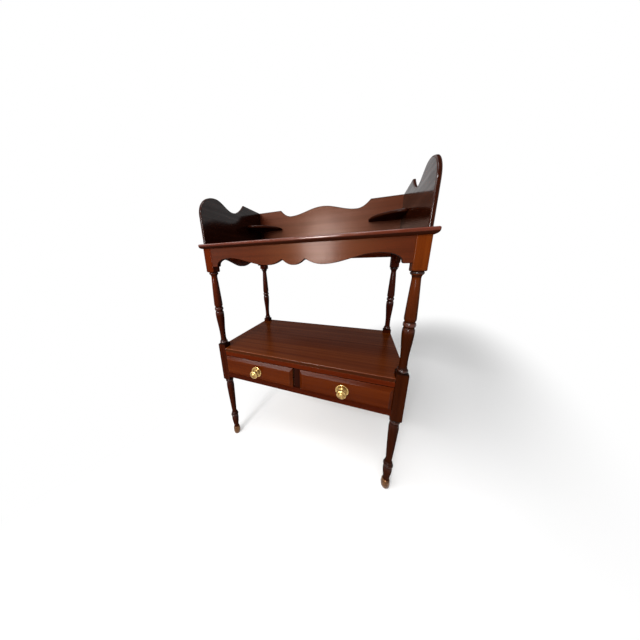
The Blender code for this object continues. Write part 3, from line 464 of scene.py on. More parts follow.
def turned_work_tree():
    """Turns a profile of radius (X) and height (Z), listed upwards, and trims it to its square stock."""
    tree, ins = new_group(
        "turned_work",
        "GeometryNodeTree",
        {
            "Profile": "Geometry",
            "Steps round": "Int",
            "Stock half": "Float",
            "Stock arris": "Float",
            "Finish": "Material",
        },
        {"Turning": "Geometry"},
    )
    maths = partial(calculate, tree)
    profile = ins["Profile"]
    rows = add_node(tree, "GeometryNodeAttributeDomainSize", {"Geometry": profile}).outputs["Point Count"]
    columns = maths("ADD", ins["Steps round"], 1.0)
    sheet = add_node(tree, "GeometryNodeMeshGrid", {"Vertices X": columns, "Vertices Y": rows})
    index = add_node(tree, "GeometryNodeInputIndex").outputs[0]
    row = maths("MODULO", index, rows)
    column = maths("FLOOR", maths("DIVIDE", maths("ADD", index, 0.5), rows))

    # Columns are spaced evenly along the four sides of the stock, so that one falls on each corner
    sides = maths("DIVIDE", maths("MULTIPLY", column, 4.0), ins["Steps round"])
    side = maths("FLOOR", maths("ADD", sides, NUDGE))
    slide = maths("SUBTRACT", maths("MULTIPLY", maths("SUBTRACT", sides, side), 2.0), 1.0)
    turn = maths("MULTIPLY_ADD", side, math.pi / 2, maths("ARCTANGENT", slide))
    east = maths("COSINE", turn)
    north = maths("SINE", turn)
    wide = maths("ABSOLUTE", east)
    deep = maths("ABSOLUTE", north)
    flat = maths("DIVIDE", ins["Stock half"], maths("MAXIMUM", wide, deep))
    across = maths("SUBTRACT", maths("MULTIPLY", ins["Stock half"], 2.0), ins["Stock arris"])
    eased = maths("DIVIDE", across, maths("ADD", wide, deep))

    def from_profile(kind, value):
        """What the profile holds at this row of the sheet."""
        inputs = {"Geometry": profile, "Value": value, "Index": row}
        return add_node(tree, "GeometryNodeSampleIndex", inputs, data_type=kind, domain="POINT").outputs[0]

    position = add_node(tree, "GeometryNodeInputPosition").outputs[0]
    point = add_node(tree, "ShaderNodeSeparateXYZ", {0: from_profile("FLOAT_VECTOR", position)}).outputs
    radius = maths("MINIMUM", point["X"], maths("MINIMUM", flat, eased))
    x, y = maths("MULTIPLY", radius, east), maths("MULTIPLY", radius, north)
    placed = add_node(tree, "ShaderNodeCombineXYZ", {"X": x, "Y": y, "Z": point["Z"]}).outputs[0]

    # The profile's hollows and crests go with it, and a trimmed corner counts as worn
    carried = {}
    for label in ("hollow", "crest"):
        stored = add_node(tree, "GeometryNodeInputNamedAttribute", {"Name": label}, data_type="FLOAT")
        carried[label] = from_profile("FLOAT", stored.outputs["Attribute"])
    trimmed = maths("GREATER_THAN", point["X"], eased)
    on_corner = maths("POWER", maths("MULTIPLY", maths("MULTIPLY", wide, deep), 2.0), CORNER_NARROWNESS)
    corner = maths("MULTIPLY", maths("MULTIPLY", trimmed, on_corner), CORNER_WEAR)
    worn = maths("MAXIMUM", corner, carried["crest"])
    shape = sheet.outputs["Mesh"]
    for label, value in (("hollow", carried["hollow"]), ("worn", worn)):
        shape = add_node(
            tree,
            "GeometryNodeStoreNamedAttribute",
            {"Geometry": shape, "Name": label, "Value": value},
            data_type="FLOAT",
            domain="POINT",
        ).outputs[0]
    for kind, inputs in (
        ("GeometryNodeSetPosition", {"Position": placed}),
        ("GeometryNodeMergeByDistance", {"Distance": SAME_PLACE}),
        ("GeometryNodeSetShadeSmooth", {}),
        ("GeometryNodeRealizeInstances", {}),
        ("GeometryNodeSetMaterial", {"Material": ins["Finish"]}),
    ):
        shape = add_node(tree, kind, {"Geometry": shape, **inputs}).outputs[0]
    add_node(tree, "NodeGroupOutput", {"Turning": shape})
    return tree


TURNED_WORK = turned_work_tree()
ROUND_STOCK = 1.0  # a stock so wide that nothing is trimmed


def curve(start, end, steps, across, up):
    """Points from start to end, without start. Across and up say how far each share of the way leads."""
    points = []
    for step in range(1, steps + 1):
        share = step / steps
        place = start[0] + (end[0] - start[0]) * across(share)
        points.append((place, start[1] + (end[1] - start[1]) * up(share)))
    return points


def even(share):
    return share


def slow_start(share):
    return 1 - math.cos(share * math.pi / 2)


def slow_end(share):
    return math.sin(share * math.pi / 2)


def slow_ends(share):
    return (1 - math.cos(share * math.pi)) / 2


def cove(start, end):
    """A quarter-round that leaves start across the axis and reaches end along it, without start."""
    return curve(start, end, CURVE_STEPS, slow_end, slow_start)


def round_over(start, end):
    """A quarter-round that leaves start along the axis and reaches end across it, without start."""
    return list(reversed(cove(end, start)))[1:] + [end]


def ring(low, height, root, crest):
    """A half-round ring with a narrow fillet under and over it, from its foot upwards."""
    points = [(root, low), (root, low + FILLET)]
    for step in range(1, CURVE_STEPS):
        angle = step / CURVE_STEPS * math.pi
        rise = (height - 2 * FILLET) * (1 - math.cos(angle)) / 2
        points.append((root + (crest - root) * math.sin(angle), low + FILLET + rise))
    return points + [(root, low + height - FILLET), (root, low + height)]


def taper(start, end, belly=0.0, swell=False):
    """A straight or swelling length from start to end, in short steps, without start."""
    points = curve(start, end, 2 * CURVE_STEPS, slow_ends if swell else even, even)
    shares = [step / len(points) for step in range(1, len(points) + 1)]
    return [(radius + belly * math.sin(share * math.pi), up) for share, (radius, up) in zip(shares, points)]


def leg_profile(foot, top, stock_half):
    """The turned outline of a leg from its foot up. Blocks are wider than the stock, which trims them."""
    block = stock_half * math.sqrt(2) + STOCK_ARRIS
    points = [(0.0, foot), (TOE_RADIUS, foot)]
    points += taper(points[-1], (VASE_RADIUS, VASE_HEIGHT), swell=True)
    points += round_over(points[-1], (ANKLE_ROOT, ANKLE_RING_LOW))
    points += ring(ANKLE_RING_LOW, ANKLE_RING_HEIGHT, ANKLE_ROOT, RING_RADIUS)
    points += ring(SMALL_RING_LOW, SMALL_RING_HEIGHT, ANKLE_ROOT, SMALL_RING_RADIUS)[1:]
    points += cove(points[-1], (ANKLE_RADIUS, ANKLE_HEIGHT))
    points += taper(points[-1], (LEG_SHOULDER_RADIUS, LEG_SHOULDER_HEIGHT), belly=0.0003)
    points += round_over(points[-1], (RING_ROOT, CASE_BLOCK_LOW - UNDER_RING_HEIGHT))
    points += ring(CASE_BLOCK_LOW - UNDER_RING_HEIGHT, UNDER_RING_HEIGHT, RING_ROOT, RING_RADIUS)
    points += cove(points[-1], (block, CASE_BLOCK_LOW + POMMEL))
    points.append((block, CASE_BLOCK_TOP - POMMEL))
    points += round_over(points[-1], (BASE_RING_ROOT, CASE_BLOCK_TOP))
    points += ring(CASE_BLOCK_TOP, BASE_RING_HEIGHT, BASE_RING_ROOT, BASE_RING_RADIUS)
    points += cove(points[-1], (NECK_RADIUS, BASE_NECK_LOW))
    points.append((NECK_RADIUS, BASE_NECK_HIGH))
    points += taper(points[-1], (LOWER_SPINDLE_RADIUS, MIDDLE_RING_LOW - SPINDLE_SHOULDER), swell=True)
    points += round_over(points[-1], (RING_ROOT, MIDDLE_RING_LOW))
    points += ring(MIDDLE_RING_LOW, MIDDLE_RING_HEIGHT, RING_ROOT, RING_RADIUS)
    points += cove(points[-1], (SPINDLE_RADIUS, points[-1][1] + SPINDLE_SHOULDER))
    neck = TOP_BLOCK_LOW - TOP_RING_HEIGHT
    points += taper(points[-1], (NECK_RADIUS, neck - NECK_COVE), belly=0.0003)
    points += round_over(points[-1], (RING_RADIUS - FLARE_STEP, neck))
    points += ring(neck, TOP_RING_HEIGHT, RING_RADIUS - FLARE_STEP, RING_RADIUS)
    points += cove(points[-1], (block, TOP_BLOCK_LOW + POMMEL))
    return points + [(block, top), (0.0, top)]


def hollow_shares(profile, reach=0.006, depth=0.0035, clean=0.15):
    """How far each point of a profile lies in a hollow beside something wider, from 0 to 1."""
    shares = []
    for radius, height in profile:
        widest = max(other for other, place in profile if abs(place - height) <= reach)
        shares.append(min(1.0, max(0.0, (widest - radius) / depth - clean)))
    return shares


def crest_shares(profile, reach=0.008, height=0.003):
    """How far each point of a profile is a ring's crest or a shoulder that looks up, from 0 to 1."""
    shares = []
    outside = [(radius, level) for radius, level in profile if radius > 0]
    for radius, level in profile:
        under = min((other for other, place in outside if 0 <= level - place <= reach), default=radius)
        over = min((other for other, place in outside if 0 <= place - level <= reach), default=radius)
        shoulder = (radius - over) / 2 if radius <= RING_RADIUS else 0.0
        share = min(1.0, max(0.0, (radius - max(under, over) + shoulder) / height))
        shares.append(share * (FOOT_RUBBING if level < CASE_BLOCK_LOW else 1.0))
    return shares


def turned_mesh(name, profile, material, stock_half=ROUND_STOCK, arris=0.0):
    """A turned piece standing on the origin, as a plain mesh."""
    line = bpy.data.meshes.new(name)
    edges = [(index, index + 1) for index in range(len(profile) - 1)]
    line.from_pydata([(radius, 0.0, height) for radius, height in profile], edges, [])
    for label, shares in (("hollow", hollow_shares(profile)), ("crest", crest_shares(profile))):
        stored = line.attributes.new(label, "FLOAT", "POINT")
        stored.data.foreach_set("value", shares)
    turning = add_object(name, line)
    lathe = turning.modifiers.new("Lathe", "NODES")
    lathe.node_group = TURNED_WORK
    values = {
        "Steps round": TURN_STEPS,
        "Stock half": stock_half,
        "Stock arris": arris,
        "Finish": material,
    }
    for item in TURNED_WORK.interface.items_tree:
        if item.in_out == "INPUT" and item.name in values:
            lathe[item.identifier] = values[item.name]
    mesh = plain_mesh(turning)
    mesh.set_sharp_from_angle(angle=TURNED_SHARP)
    return mesh


def plain_mesh(thing):
    """The mesh that an object's modifiers make, with the object itself taken away."""
    graph = bpy.context.evaluated_depsgraph_get()
    mesh = bpy.data.meshes.new_from_object(
        thing.evaluated_get(graph), preserve_all_data_layers=True, depsgraph=graph
    )
    name = thing.name
    old = thing.data
    bpy.data.objects.remove(thing)
    bpy.data.meshes.remove(old)
    mesh.name = name
    return mesh


def show(name, mesh, body, slot, *nodes):
    """Shows a finished mesh as a piece on a body, in place of the CAD nodes that it details."""
    piece = add_object(name, mesh)
    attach(piece, body)
    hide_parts(*nodes)


LEG_LIGHT_AND_SHADE = {  # painted light and shade: each leg's top tone, lighter or darker as the light falls on it, and how much of it is left at the foot
    "front_left": ((0.74, 0.60, 0.28), 0.36),
    "front_right": ((0.88, 0.98, 0.44), 0.28),
    "back_left": ((0.50, 0.45, 0.5), 0.60),
    "back_right": ((0.50, 0.45, 0.5), 0.60),
}
# Each leg's copy of the wood carries painted light and shade in its tone.
for index, (corner, (tone, foot_tone)) in enumerate(LEG_LIGHT_AND_SHADE.items()):
    low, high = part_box(f"leg_{corner}")
    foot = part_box(f"toe_cap_{corner}")[1].z
    wood = mahogany(f"leg_{corner}", "Z", 1.0 + index, tone, polish=0.05, foot_tone=foot_tone)
    stock_half = (high.x - low.x) / 2
    profile = leg_profile(foot, high.z, stock_half)
    mesh = turned_mesh(f"leg_{corner}", profile, wood, stock_half, STOCK_ARRIS)
    mesh.transform(Matrix.Translation(((low.x + high.x) / 2, (low.y + high.y) / 2, 0.0)))
    show(f"turned_leg_{corner}", mesh, "stand", "mahogany", f"leg_{corner}")


# Toe caps
# Four cast brass cups that shoe the feet. Floors and polish cloths have rubbed them dull and brown,
# and only patches of the metal still shine.
TOE_CAP_RADIUS = 0.0130
TOE_CAP_LIP = 0.0090
TOE_CAP_FLAT = 0.0072
TOE_BRASS = (0.145, 0.058, 0.015, 1.0)
TOE_TARNISH = (0.050, 0.019, 0.006, 1.0)
TARNISH_SCALE = 120.0
SCRATCH_STRETCH = (300.0, 2600.0)
SCRATCH_RELIEF = 0.25
SCRATCH_DEPTH = 0.00005


def tarnish_group():
    """Old metal: bright where it is rubbed, darker in hollows and in soft patches, with fine scratches."""
    group, ins = new_group(
        "tarnish",
        "ShaderNodeTree",
        {"Vector": "Vector", "Bright": "Color", "Tarnish": "Color", "Amount": "Float"},
        {"Color": "Color", "Roughness": "Float", "Height": "Float"},
    )
    maths = partial(calculate, group)
    patches = noise(group, ins["Vector"], TARNISH_SCALE, detail=5.0)
    scratches = stretched_noise(group, ins["Vector"], SCRATCH_STRETCH, detail=2.0)
    cover = maths("ADD", ranged(group, patches, 0.42, 0.62), stored_share(group, "hollow"))
    cover = maths("MINIMUM", maths("MULTIPLY", cover, ins["Amount"]), 1.0)
    colour = blended(group, "MIX", cover, ins["Bright"], ins["Tarnish"])
    dulled = ranged(group, cover, 0.0, 1.0, 0.10, 0.42)
    rough = maths("ADD", dulled, ranged(group, scratches, 0.4, 0.7, 0.0, 0.06))
    add_node(group, "NodeGroupOutput", {"Color": colour, "Roughness": rough, "Height": scratches})
    return group


TARNISH = tarnish_group()


def metal_material(name, bright, tarnish, amount, metallic):
    material, tree = new_material(name)
    place = add_node(tree, "ShaderNodeTexCoord").outputs["Object"]
    surface = add_node(
        tree,
        "ShaderNodeGroup",
        {"Vector": place, "Bright": bright, "Tarnish": tarnish, "Amount": amount},
        node_tree=TARNISH,
    ).outputs
    bump = add_node(
        tree,
        "ShaderNodeBump",
        {"Height": surface["Height"], "Strength": SCRATCH_RELIEF, "Distance": SCRATCH_DEPTH},
    )
    shader = add_node(
        tree,
        "ShaderNodeBsdfPrincipled",
        {
            "Base Color": surface["Color"],
            "Roughness": surface["Roughness"],
            "Normal": bump.outputs["Normal"],
            "Metallic": metallic,
        },
    )
    add_node(tree, "ShaderNodeOutputMaterial", {"Surface": shader.outputs[0]})
    return material


def toe_cap_profile(top):
    points = [(0.0, 0.0), (TOE_CAP_FLAT, 0.0)]
    points += cove(points[-1], (TOE_CAP_RADIUS, top / 2))
    points += round_over(points[-1], (TOE_CAP_LIP, top))
    return points + [(0.0, top)]


toe_brass = metal_material("worn_toe_brass", TOE_BRASS, TOE_TARNISH, amount=0.85, metallic=0.7)
for corner in LEG_LIGHT_AND_SHADE:
    low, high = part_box(f"toe_cap_{corner}")
    mesh = turned_mesh(f"toe_cap_{corner}", toe_cap_profile(high.z), toe_brass)
    mesh.transform(Matrix.Translation(((low.x + high.x) / 2, (low.y + high.y) / 2, 0.0)))
    show(f"worn_toe_{corner}", mesh, "stand", "worn_brass", f"toe_cap_{corner}")


# Aprons and back rail
# Three mahogany boards sawn to a scalloped lower edge and tenoned between the legs, a hair inside their
# faces. The fourth side of the frame is closed by a plain straight rail.
TRAY_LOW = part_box("tray_top")[0].z
JOINT_GAP = 0.0003
APRON_THICKNESS = 0.014
APRON_SETBACK = 0.001
APRON_ROUNDING = 0.0009
BRACKET_DEPTH = 0.0556
BRACKET_FLAT = 0.0145
BRACKET_NOSE = 0.0055
ARCH_DEPTH = 0.0308
FRONT_ARCH_RUN = 0.0465
SIDE_ARCH_RUN = 0.0255
LOBE_PLACE = 0.080
LOBE_DEPTH = 0.0536
CUSP_PLACE = 0.033
CUSP_DEPTH = 0.0386
CENTRE_DEPTH = 0.0543
SIDE_LOBE_DEPTH = 0.0561
EDGE_STEPS = 5
OUTLINE_STEPS = 28
BOARD_SHARP = math.radians(38)  # a sharper turn than this shows as an edge
EASED_SHARP = math.radians(28)  # and a sharper one than this is eased
EASED_WEAR = 0.5
FLAT_ANGLE = math.radians(1.0)
WELD_DISTANCE = 0.00002
PLANES = {
    "XY": lambda across, up, out: (across, up, out),
    "XZ": lambda across, up, out: (across, out, up),
    "YZ": lambda across, up, out: (out, across, up),
}


def s_curve(start, end):
    """A smooth S, level at both ends, without its start."""
    return curve(start, end, OUTLINE_STEPS, even, slow_ends)


def sweep_up(low, high):
    """A curve that leaves low level and climbs ever more steeply to a point at high, without low."""
    return curve(low, high, OUTLINE_STEPS, even, lambda share: share**2)


def quarter_arc(start, end):
    """A quarter of an ellipse that leaves start straight up or down and reaches end level, without start."""
    return curve(start, end, OUTLINE_STEPS, slow_start, slow_end)


def quarter_turn(steps):
    """Angles in even steps from nothing to a right angle."""
    return [step / steps * math.pi / 2 for step in range(steps + 1)]


def mirrored(half):
    """A whole edge from its right half, which runs from the end to the middle."""
    return half + [(-across, up) for across, up in reversed(half) if across > 0]


def inset_outline(outline, inset, square_edges):
    """A counter-clockwise outline moved inwards, except along the edges that start at the given points."""
    inward = []
    for index, start in enumerate(outline):
        along = (Vector(outline[(index + 1) % len(outline)]) - Vector(start)).normalized()
        move = 0.0 if index in square_edges else inset
        inward.append((Vector((-along.y, along.x)), move))
    points = []
    for index, point in enumerate(outline):
        (first, first_move), (second, second_move) = inward[index - 1], inward[index]
        turn = first.x * second.y - first.y * second.x
        if abs(turn) < 0.001:
            shift = first * (first_move + second_move) / 2
        else:
            shift = Vector(
                (
                    (first_move * second.y - second_move * first.y) / turn,
                    (first.x * second_move - second.x * first_move) / turn,
                )
            )
        points.append(Vector(point) + shift)
    return points


def lofted_mesh(name, rings, plane, material, edge_material):
    """A closed shell through rings of (points, place across the plane, wear, end grain and painted shade),
    from low to high.
    """
    count = len(rings[0][0])
    place = PLANES[plane]
    vertices = [place(point[0], point[1], out) for points, out, _, _ in rings for point in points]
    faces = [tuple(reversed(range(count)))]
    for row in range(len(rings) - 1):
        for column in range(count):
            near = row * count + column
            far = row * count + (column + 1) % count
            faces.append((near, far, far + count, near + count))
    faces.append(tuple(range((len(rings) - 1) * count, len(rings) * count)))
    mesh = bpy.data.meshes.new(name)
    mesh.from_pydata(vertices, [], faces)
    sawn = [row[3] + next_row[3] > 0 for row, next_row in zip(rings, rings[1:]) for _ in range(count)]
    mesh.polygons.foreach_set("material_index", [0] + [int(edge) for edge in sawn] + [0])
    if plane == "XZ":
        mesh.flip_normals()
    for index, label in ((2, "worn"), (3, "end_grain_and_shade")):
        stored = mesh.attributes.new(label, "FLOAT", "POINT")
        stored.data.foreach_set("value", [ring_values[index] for ring_values in rings for _ in range(count)])
    mesh.materials.append(material)
    mesh.materials.append(edge_material)
    return evenly_shaded(name, mesh)


def evenly_shaded(name, mesh, arris=0.0):
    """A mesh with its edges eased, where an arris is given, and with flat faces that stay flat when lit."""
    mesh.shade_smooth()
    mesh.set_sharp_from_angle(angle=BOARD_SHARP)
    thing = add_object(name, mesh)
    if arris:
        mesh.materials.append(None)
        ease = thing.modifiers.new("Eased edges", "BEVEL")
        ease.material = 1
        ease.width = arris
        ease.segments = 2
        ease.limit_method = "ANGLE"
        ease.angle_limit = EASED_SHARP
        ease.use_clamp_overlap = True
        ease.miter_outer = "MITER_ARC"
    flat = thing.modifiers.new("Flat faces", "WEIGHTED_NORMAL")
    flat.keep_sharp = not arris
    mesh = plain_mesh(thing)
    if arris:
        eased = [EASED_WEAR * face.material_index for face in mesh.polygons]
        worn = mesh.attributes.new("worn", "FLOAT", "FACE")
        worn.data.foreach_set("value", eased)
        mesh.polygons.foreach_set("material_index", [0] * len(eased))
        mesh.materials.pop(index=1)
    return mesh


def board_mesh(name, outline, plane, low, thickness, rounding, square_edges, wood, edge, wear=0.0):
    """A sawn board, rounded along both faces apart from its square edges. The edge is darkened as end grain,
    and on the aprons' lower edges also as painted shade.
    """
    steps = []
    for angle in quarter_turn(EDGE_STEPS):
        inset = rounding * (1 - math.sin(angle))
        depth = rounding * (1 - math.cos(angle))
        steps.append((inset, depth, wear * math.sin(2 * angle), float(angle > 0)))
    steps += [(inset, thickness - depth, rubbed, sawn) for inset, depth, rubbed, sawn in reversed(steps)]
    rings = [
        (inset_outline(outline, inset, square_edges), low + depth, rubbed, sawn)
        for inset, depth, rubbed, sawn in steps
    ]
    return lofted_mesh(name, rings, plane, wood, edge)


def bracket_and_arch(half, arch_run):
    """The end of an apron's lower edge: a flat bracket by the leg, a rounded nose and a hollow arch."""
    low = TRAY_LOW - BRACKET_DEPTH
    corner = (half - BRACKET_FLAT, low)
    nose = (corner[0] - BRACKET_NOSE, low + BRACKET_NOSE)
    points = [(half, low), corner] + list(reversed(quarter_arc(nose, corner)))[1:] + [nose]
    return points + quarter_arc(nose, (nose[0] - arch_run, TRAY_LOW - ARCH_DEPTH))


def front_apron_edge(half):
    points = bracket_and_arch(half, FRONT_ARCH_RUN)
    lobe = (LOBE_PLACE, TRAY_LOW - LOBE_DEPTH)
    cusp = (CUSP_PLACE, TRAY_LOW - CUSP_DEPTH)
    centre = (0.0, TRAY_LOW - CENTRE_DEPTH)
    points += s_curve(points[-1], lobe) + sweep_up(lobe, cusp)
    return points + list(reversed(sweep_up(centre, cusp)[:-1])) + [centre]


def side_apron_edge(half):
    points = bracket_and_arch(half, SIDE_ARCH_RUN)
    return points + s_curve(points[-1], (0.0, TRAY_LOW - SIDE_LOBE_DEPTH))


def sawn_edge(name, grain):
    """The wood of a board's sawn edge, which the polish sinks into and leaves dull. Its darker tone is partly
    painted shade, under the tray's moulding and the aprons' arches.
    """
    return mahogany(f"{name}_edge", grain, 17.0, (0.6, 0.6, 0.6), roughness=0.6, polish=0.10)


def apron_mesh(name, half, middle, edge, plane, low, wood):
    """An apron from the right half of its lower edge. Its top and its two ends stay square."""
    top = TRAY_LOW - JOINT_GAP
    lower = [(-across, up) for across, up in mirrored(edge)]
    outline = [(middle + across, up) for across, up in [(half, top), (-half, top)] + lower]
    square_edges = (0, 1, len(outline) - 1)
    sawn = sawn_edge(name, plane[0])
    return board_mesh(name, outline, plane, low, APRON_THICKNESS, APRON_ROUNDING, square_edges, wood, sawn)


def eased_copy(node, material, arris, thickness_axis=None, stain=0.0):
    """A CAD node's own shape with its sharp edges eased, as a plane and sandpaper leave them.

    Faces that look across the given axis are the board's edges, which take the stain of end grain.
    """
    shape = bmesh.new()
    shape.from_mesh(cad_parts[node].data)
    bmesh.ops.remove_doubles(shape, verts=shape.verts, dist=WELD_DISTANCE)
    bmesh.ops.dissolve_limit(
        shape, angle_limit=FLAT_ANGLE, verts=shape.verts, edges=shape.edges, delimit=set()
    )
    vertices = [tuple(corner.co) for corner in shape.verts]
    shape.verts.index_update()
    faces = [tuple(corner.index for corner in face.verts) for face in shape.faces]
    shape.free()
    mesh = bpy.data.meshes.new(node)
    mesh.from_pydata(vertices, [], faces)
    mesh.materials.append(material)
    mesh = evenly_shaded(node, mesh, arris)
    if stain:
        sawn = [stain * (abs(face.normal["XYZ".index(thickness_axis)]) < 0.3) for face in mesh.polygons]
        mesh.attributes.new("end_grain_and_shade", "FLOAT", "FACE").data.foreach_set("value", sawn)
    return mesh


front_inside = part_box("leg_front_left")[1].y
back_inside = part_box("leg_back_left")[0].y
side_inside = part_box("leg_front_right")[0].x
front_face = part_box("leg_front_left")[0].y
side_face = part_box("leg_front_right")[1].x
frame_middle = (front_inside + back_inside) / 2

half = side_inside - JOINT_GAP
wood = mahogany(
    "front_apron", "X", 11.0, (0.44, 0.32, 0.09),
    sheen=0.18, roughness=0.36, polish=0.12, polish_roughness=0.19
)
mesh = apron_mesh(
    "front_apron", half, 0.0, front_apron_edge(half), "XZ", front_face + APRON_SETBACK, wood
)
show("scalloped_front_apron", mesh, "stand", "mahogany", "front_apron")

half = (back_inside - front_inside) / 2 - JOINT_GAP
for side_name, low in (
    ("left", APRON_SETBACK - side_face),
    ("right", side_face - APRON_SETBACK - APRON_THICKNESS),
):
    wood = mahogany(f"{side_name}_apron", "Y", 13.0 + low)
    edge = side_apron_edge(half)
    mesh = apron_mesh(f"{side_name}_apron", half, frame_middle, edge, "YZ", low, wood)
    show(f"scalloped_{side_name}_apron", mesh, "stand", "mahogany", f"{side_name}_apron")


def face_away(mesh, direction, wood):
    """The side of a board that is turned from view, given a plainer finish of its own."""
    mesh.materials.append(wood)
    slot = len(mesh.materials) - 1
    for face in mesh.polygons:
        if sum(part * other for part, other in zip(face.normal, direction)) > 0.8:
            face.material_index = slot


TOWARDS_WALL = (0.0, 1.0, 0.0)
# The faces turned to the wall and the case back are made lighter than the front, painted light where the
# lamps in front don't reach.
BACK_PAINTED_LIGHT_TONE = (1.7, 1.8, 1.8)
wood = mahogany("back_rail", "X", 15.0)
mesh = eased_copy("back_rail", wood, arris=0.0007)
unpolished_lightened = mahogany("back_rail_outside", "X", 16.0, BACK_PAINTED_LIGHT_TONE, roughness=0.6, polish=0.0)
face_away(mesh, TOWARDS_WALL, unpolished_lightened)
show("planed_back_rail", mesh, "stand", "mahogany", "back_rail")


# Tray top
# One wide mahogany board that lies on the legs and aprons. Its front and side edges carry a thumb
# moulding, rounded a little on top and deeply beneath, and the back edge is square for the wall.
THUMB_TOP = 0.0036
THUMB_UNDER = 0.0085
TRAY_CORNER = 0.0040
SMALLEST_CORNER = 0.0003
TRAY_STEPS = 8
TRAY_EDGE_WEAR = 0.5
DOWNWARDS = (0.0, 0.0, -1.0)


def tray_outline(low, high, inset):
    """The tray seen from above, moved in on three sides. The back edge stays where it is."""
    radius = max(TRAY_CORNER - inset, SMALLEST_CORNER)
    left, right, front = low.x + inset, high.x - inset, low.y + inset
    points = [(right, high.y), (left, high.y)]
    for across, start in ((left + radius, math.pi), (right - radius, 1.5 * math.pi)):
        for turn in quarter_turn(TRAY_STEPS):
            angle = start + turn
            points.append((across + radius * math.cos(angle), front + radius + radius * math.sin(angle)))
    return points


def tray_mesh(material):
    """The tray from its underside up. The hollow under the edge is darkened as painted shade, and the nose is
    rubbed.
    """
    low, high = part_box("tray_top")
    steps = []
    for step, angle in enumerate(quarter_turn(TRAY_STEPS)):
        inset = THUMB_UNDER * (1 - math.sin(angle))
        height = low.z + THUMB_UNDER * (1 - math.cos(angle))
        rubbed = step >= TRAY_STEPS - 1
        # The hollow under the moulding is darkened as painted shade, with the end-grain stain and the sawn
        # edge's wood.
        steps.append((inset, height, TRAY_EDGE_WEAR * rubbed, float(step > 0 and not rubbed)))
    for angle in quarter_turn(TRAY_STEPS):
        inset = THUMB_TOP * (1 - math.cos(angle))
        height = high.z - THUMB_TOP * (1 - math.sin(angle))
        steps.append((inset, height, max(TRAY_EDGE_WEAR * math.cos(angle), math.sin(2 * angle)), 0.0))
    rings = [(tray_outline(low, high, inset), height, wear, sawn) for inset, height, wear, sawn in steps]
    return lofted_mesh("tray_top", rings, "XY", material, sawn_edge("tray", "X"))


wood = mahogany(
    "tray_top", "X", 21.0, (0.62, 0.47, 0.24),
    sheen=0.09, roughness=0.28, polish=0.14, polish_roughness=0.16
)
mesh = tray_mesh(wood)
underside = mahogany("tray_underside", "X", 22.0, (0.9, 0.9, 0.9), roughness=0.65, polish=0.0)
face_away(mesh, DOWNWARDS, underside)
show("thumb_moulded_tray", mesh, "stand", "mahogany", "tray_top")


# Gallery
# Three thin mahogany boards stand on the tray as a splash back, sawn to points, dips and a round crest,
# with their upper edges rounded over. A quarter-round shelf is housed in each rear corner.
GALLERY_ROUNDING = 0.0026
BACK_ROUNDING = 0.0020
BACK_POINT_PLACE = 0.1877
BACK_DIP_PLACE = 0.139
BACK_DIP_DROP = 0.0270
BACK_CREST_DROP = 0.0030
SIDE_SPRING_DROP = 0.0845
SIDE_CREST_RUN = 0.0725
SIDE_CREST_DROP = 0.0191
SIDE_DIP_RUN = 0.144
SIDE_DIP_DROP = 0.0422
SIDE_POINT_RUN = 0.217
CORNER_RADIUS = 0.1125
CORNER_TIP = 0.008
CORNER_ROUNDING = 0.0030


def back_gallery_outline(half, low, top):
    point = (BACK_POINT_PLACE, top)
    dip = (BACK_DIP_PLACE, top - BACK_DIP_DROP)
    crest = (0.0, top - BACK_CREST_DROP)
    edge = [(half, top)] + list(reversed(sweep_up(dip, point))) + [dip] + s_curve(dip, crest)
    return [(-half, low), (half, low)] + mirrored(edge)


def side_gallery_outline(front, rear, low, top):
    spring = (front, top - SIDE_SPRING_DROP)
    crest = (front + SIDE_CREST_RUN, top - SIDE_CREST_DROP)
    dip = (front + SIDE_DIP_RUN, top - SIDE_DIP_DROP)
    points = [(front, low), (rear, low), (rear, top)]
    points += list(reversed(sweep_up(dip, (front + SIDE_POINT_RUN, top)))) + [dip]
    points += s_curve(dip, crest)
    return points + list(reversed(quarter_arc(spring, crest)))[1:] + [spring]


def corner_shelf_outline(wall_x, wall_y):
    """A quarter-round in the right rear corner with small rounded tips, from the corner round."""
    reach = math.sqrt((CORNER_RADIUS - CORNER_TIP) ** 2 - CORNER_TIP**2)
    tilt = math.atan2(CORNER_TIP, reach)
    arc = []
    for step in range(2 * OUTLINE_STEPS + 1):
        angle = tilt + (math.pi / 2 - 2 * tilt) * step / (2 * OUTLINE_STEPS)
        arc.append((CORNER_RADIUS * math.cos(angle), CORNER_RADIUS * math.sin(angle)))
    tip = []
    for step in range(TRAY_STEPS):
        angle = (math.pi / 2 - tilt) * step / TRAY_STEPS
        tip.append((reach + CORNER_TIP * math.sin(angle), CORNER_TIP * (1 - math.cos(angle))))
    swapped = [(forward, out) for out, forward in reversed(tip)]
    return [(wall_x - out, wall_y - forward) for out, forward in [(0.0, 0.0)] + tip + arc + swapped]


left_low, left_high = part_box("left_gallery")
back_low, back_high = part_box("back_gallery")
board_inside = -left_high.x
wood = mahogany(
    "back_gallery", "X", 31.0, (0.44, 0.38, 0.38),
    sheen=0.19, roughness=0.34, polish=0.20, polish_roughness=0.26
)
outline = back_gallery_outline(board_inside, back_low.z, back_high.z)
square_edges = (0, 1, len(outline) - 1)
edge = sawn_edge("back_gallery", "X")
thickness = back_high.y - back_low.y
mesh = board_mesh(
    "back_gallery", outline, "XZ", back_low.y, thickness, BACK_ROUNDING, square_edges, wood, edge
)
unpolished_lightened = mahogany("back_gallery_outside", "X", 32.0, BACK_PAINTED_LIGHT_TONE, roughness=0.6, polish=0.0)
face_away(mesh, TOWARDS_WALL, unpolished_lightened)
show("shaped_back_gallery", mesh, "stand", "mahogany", "back_gallery")

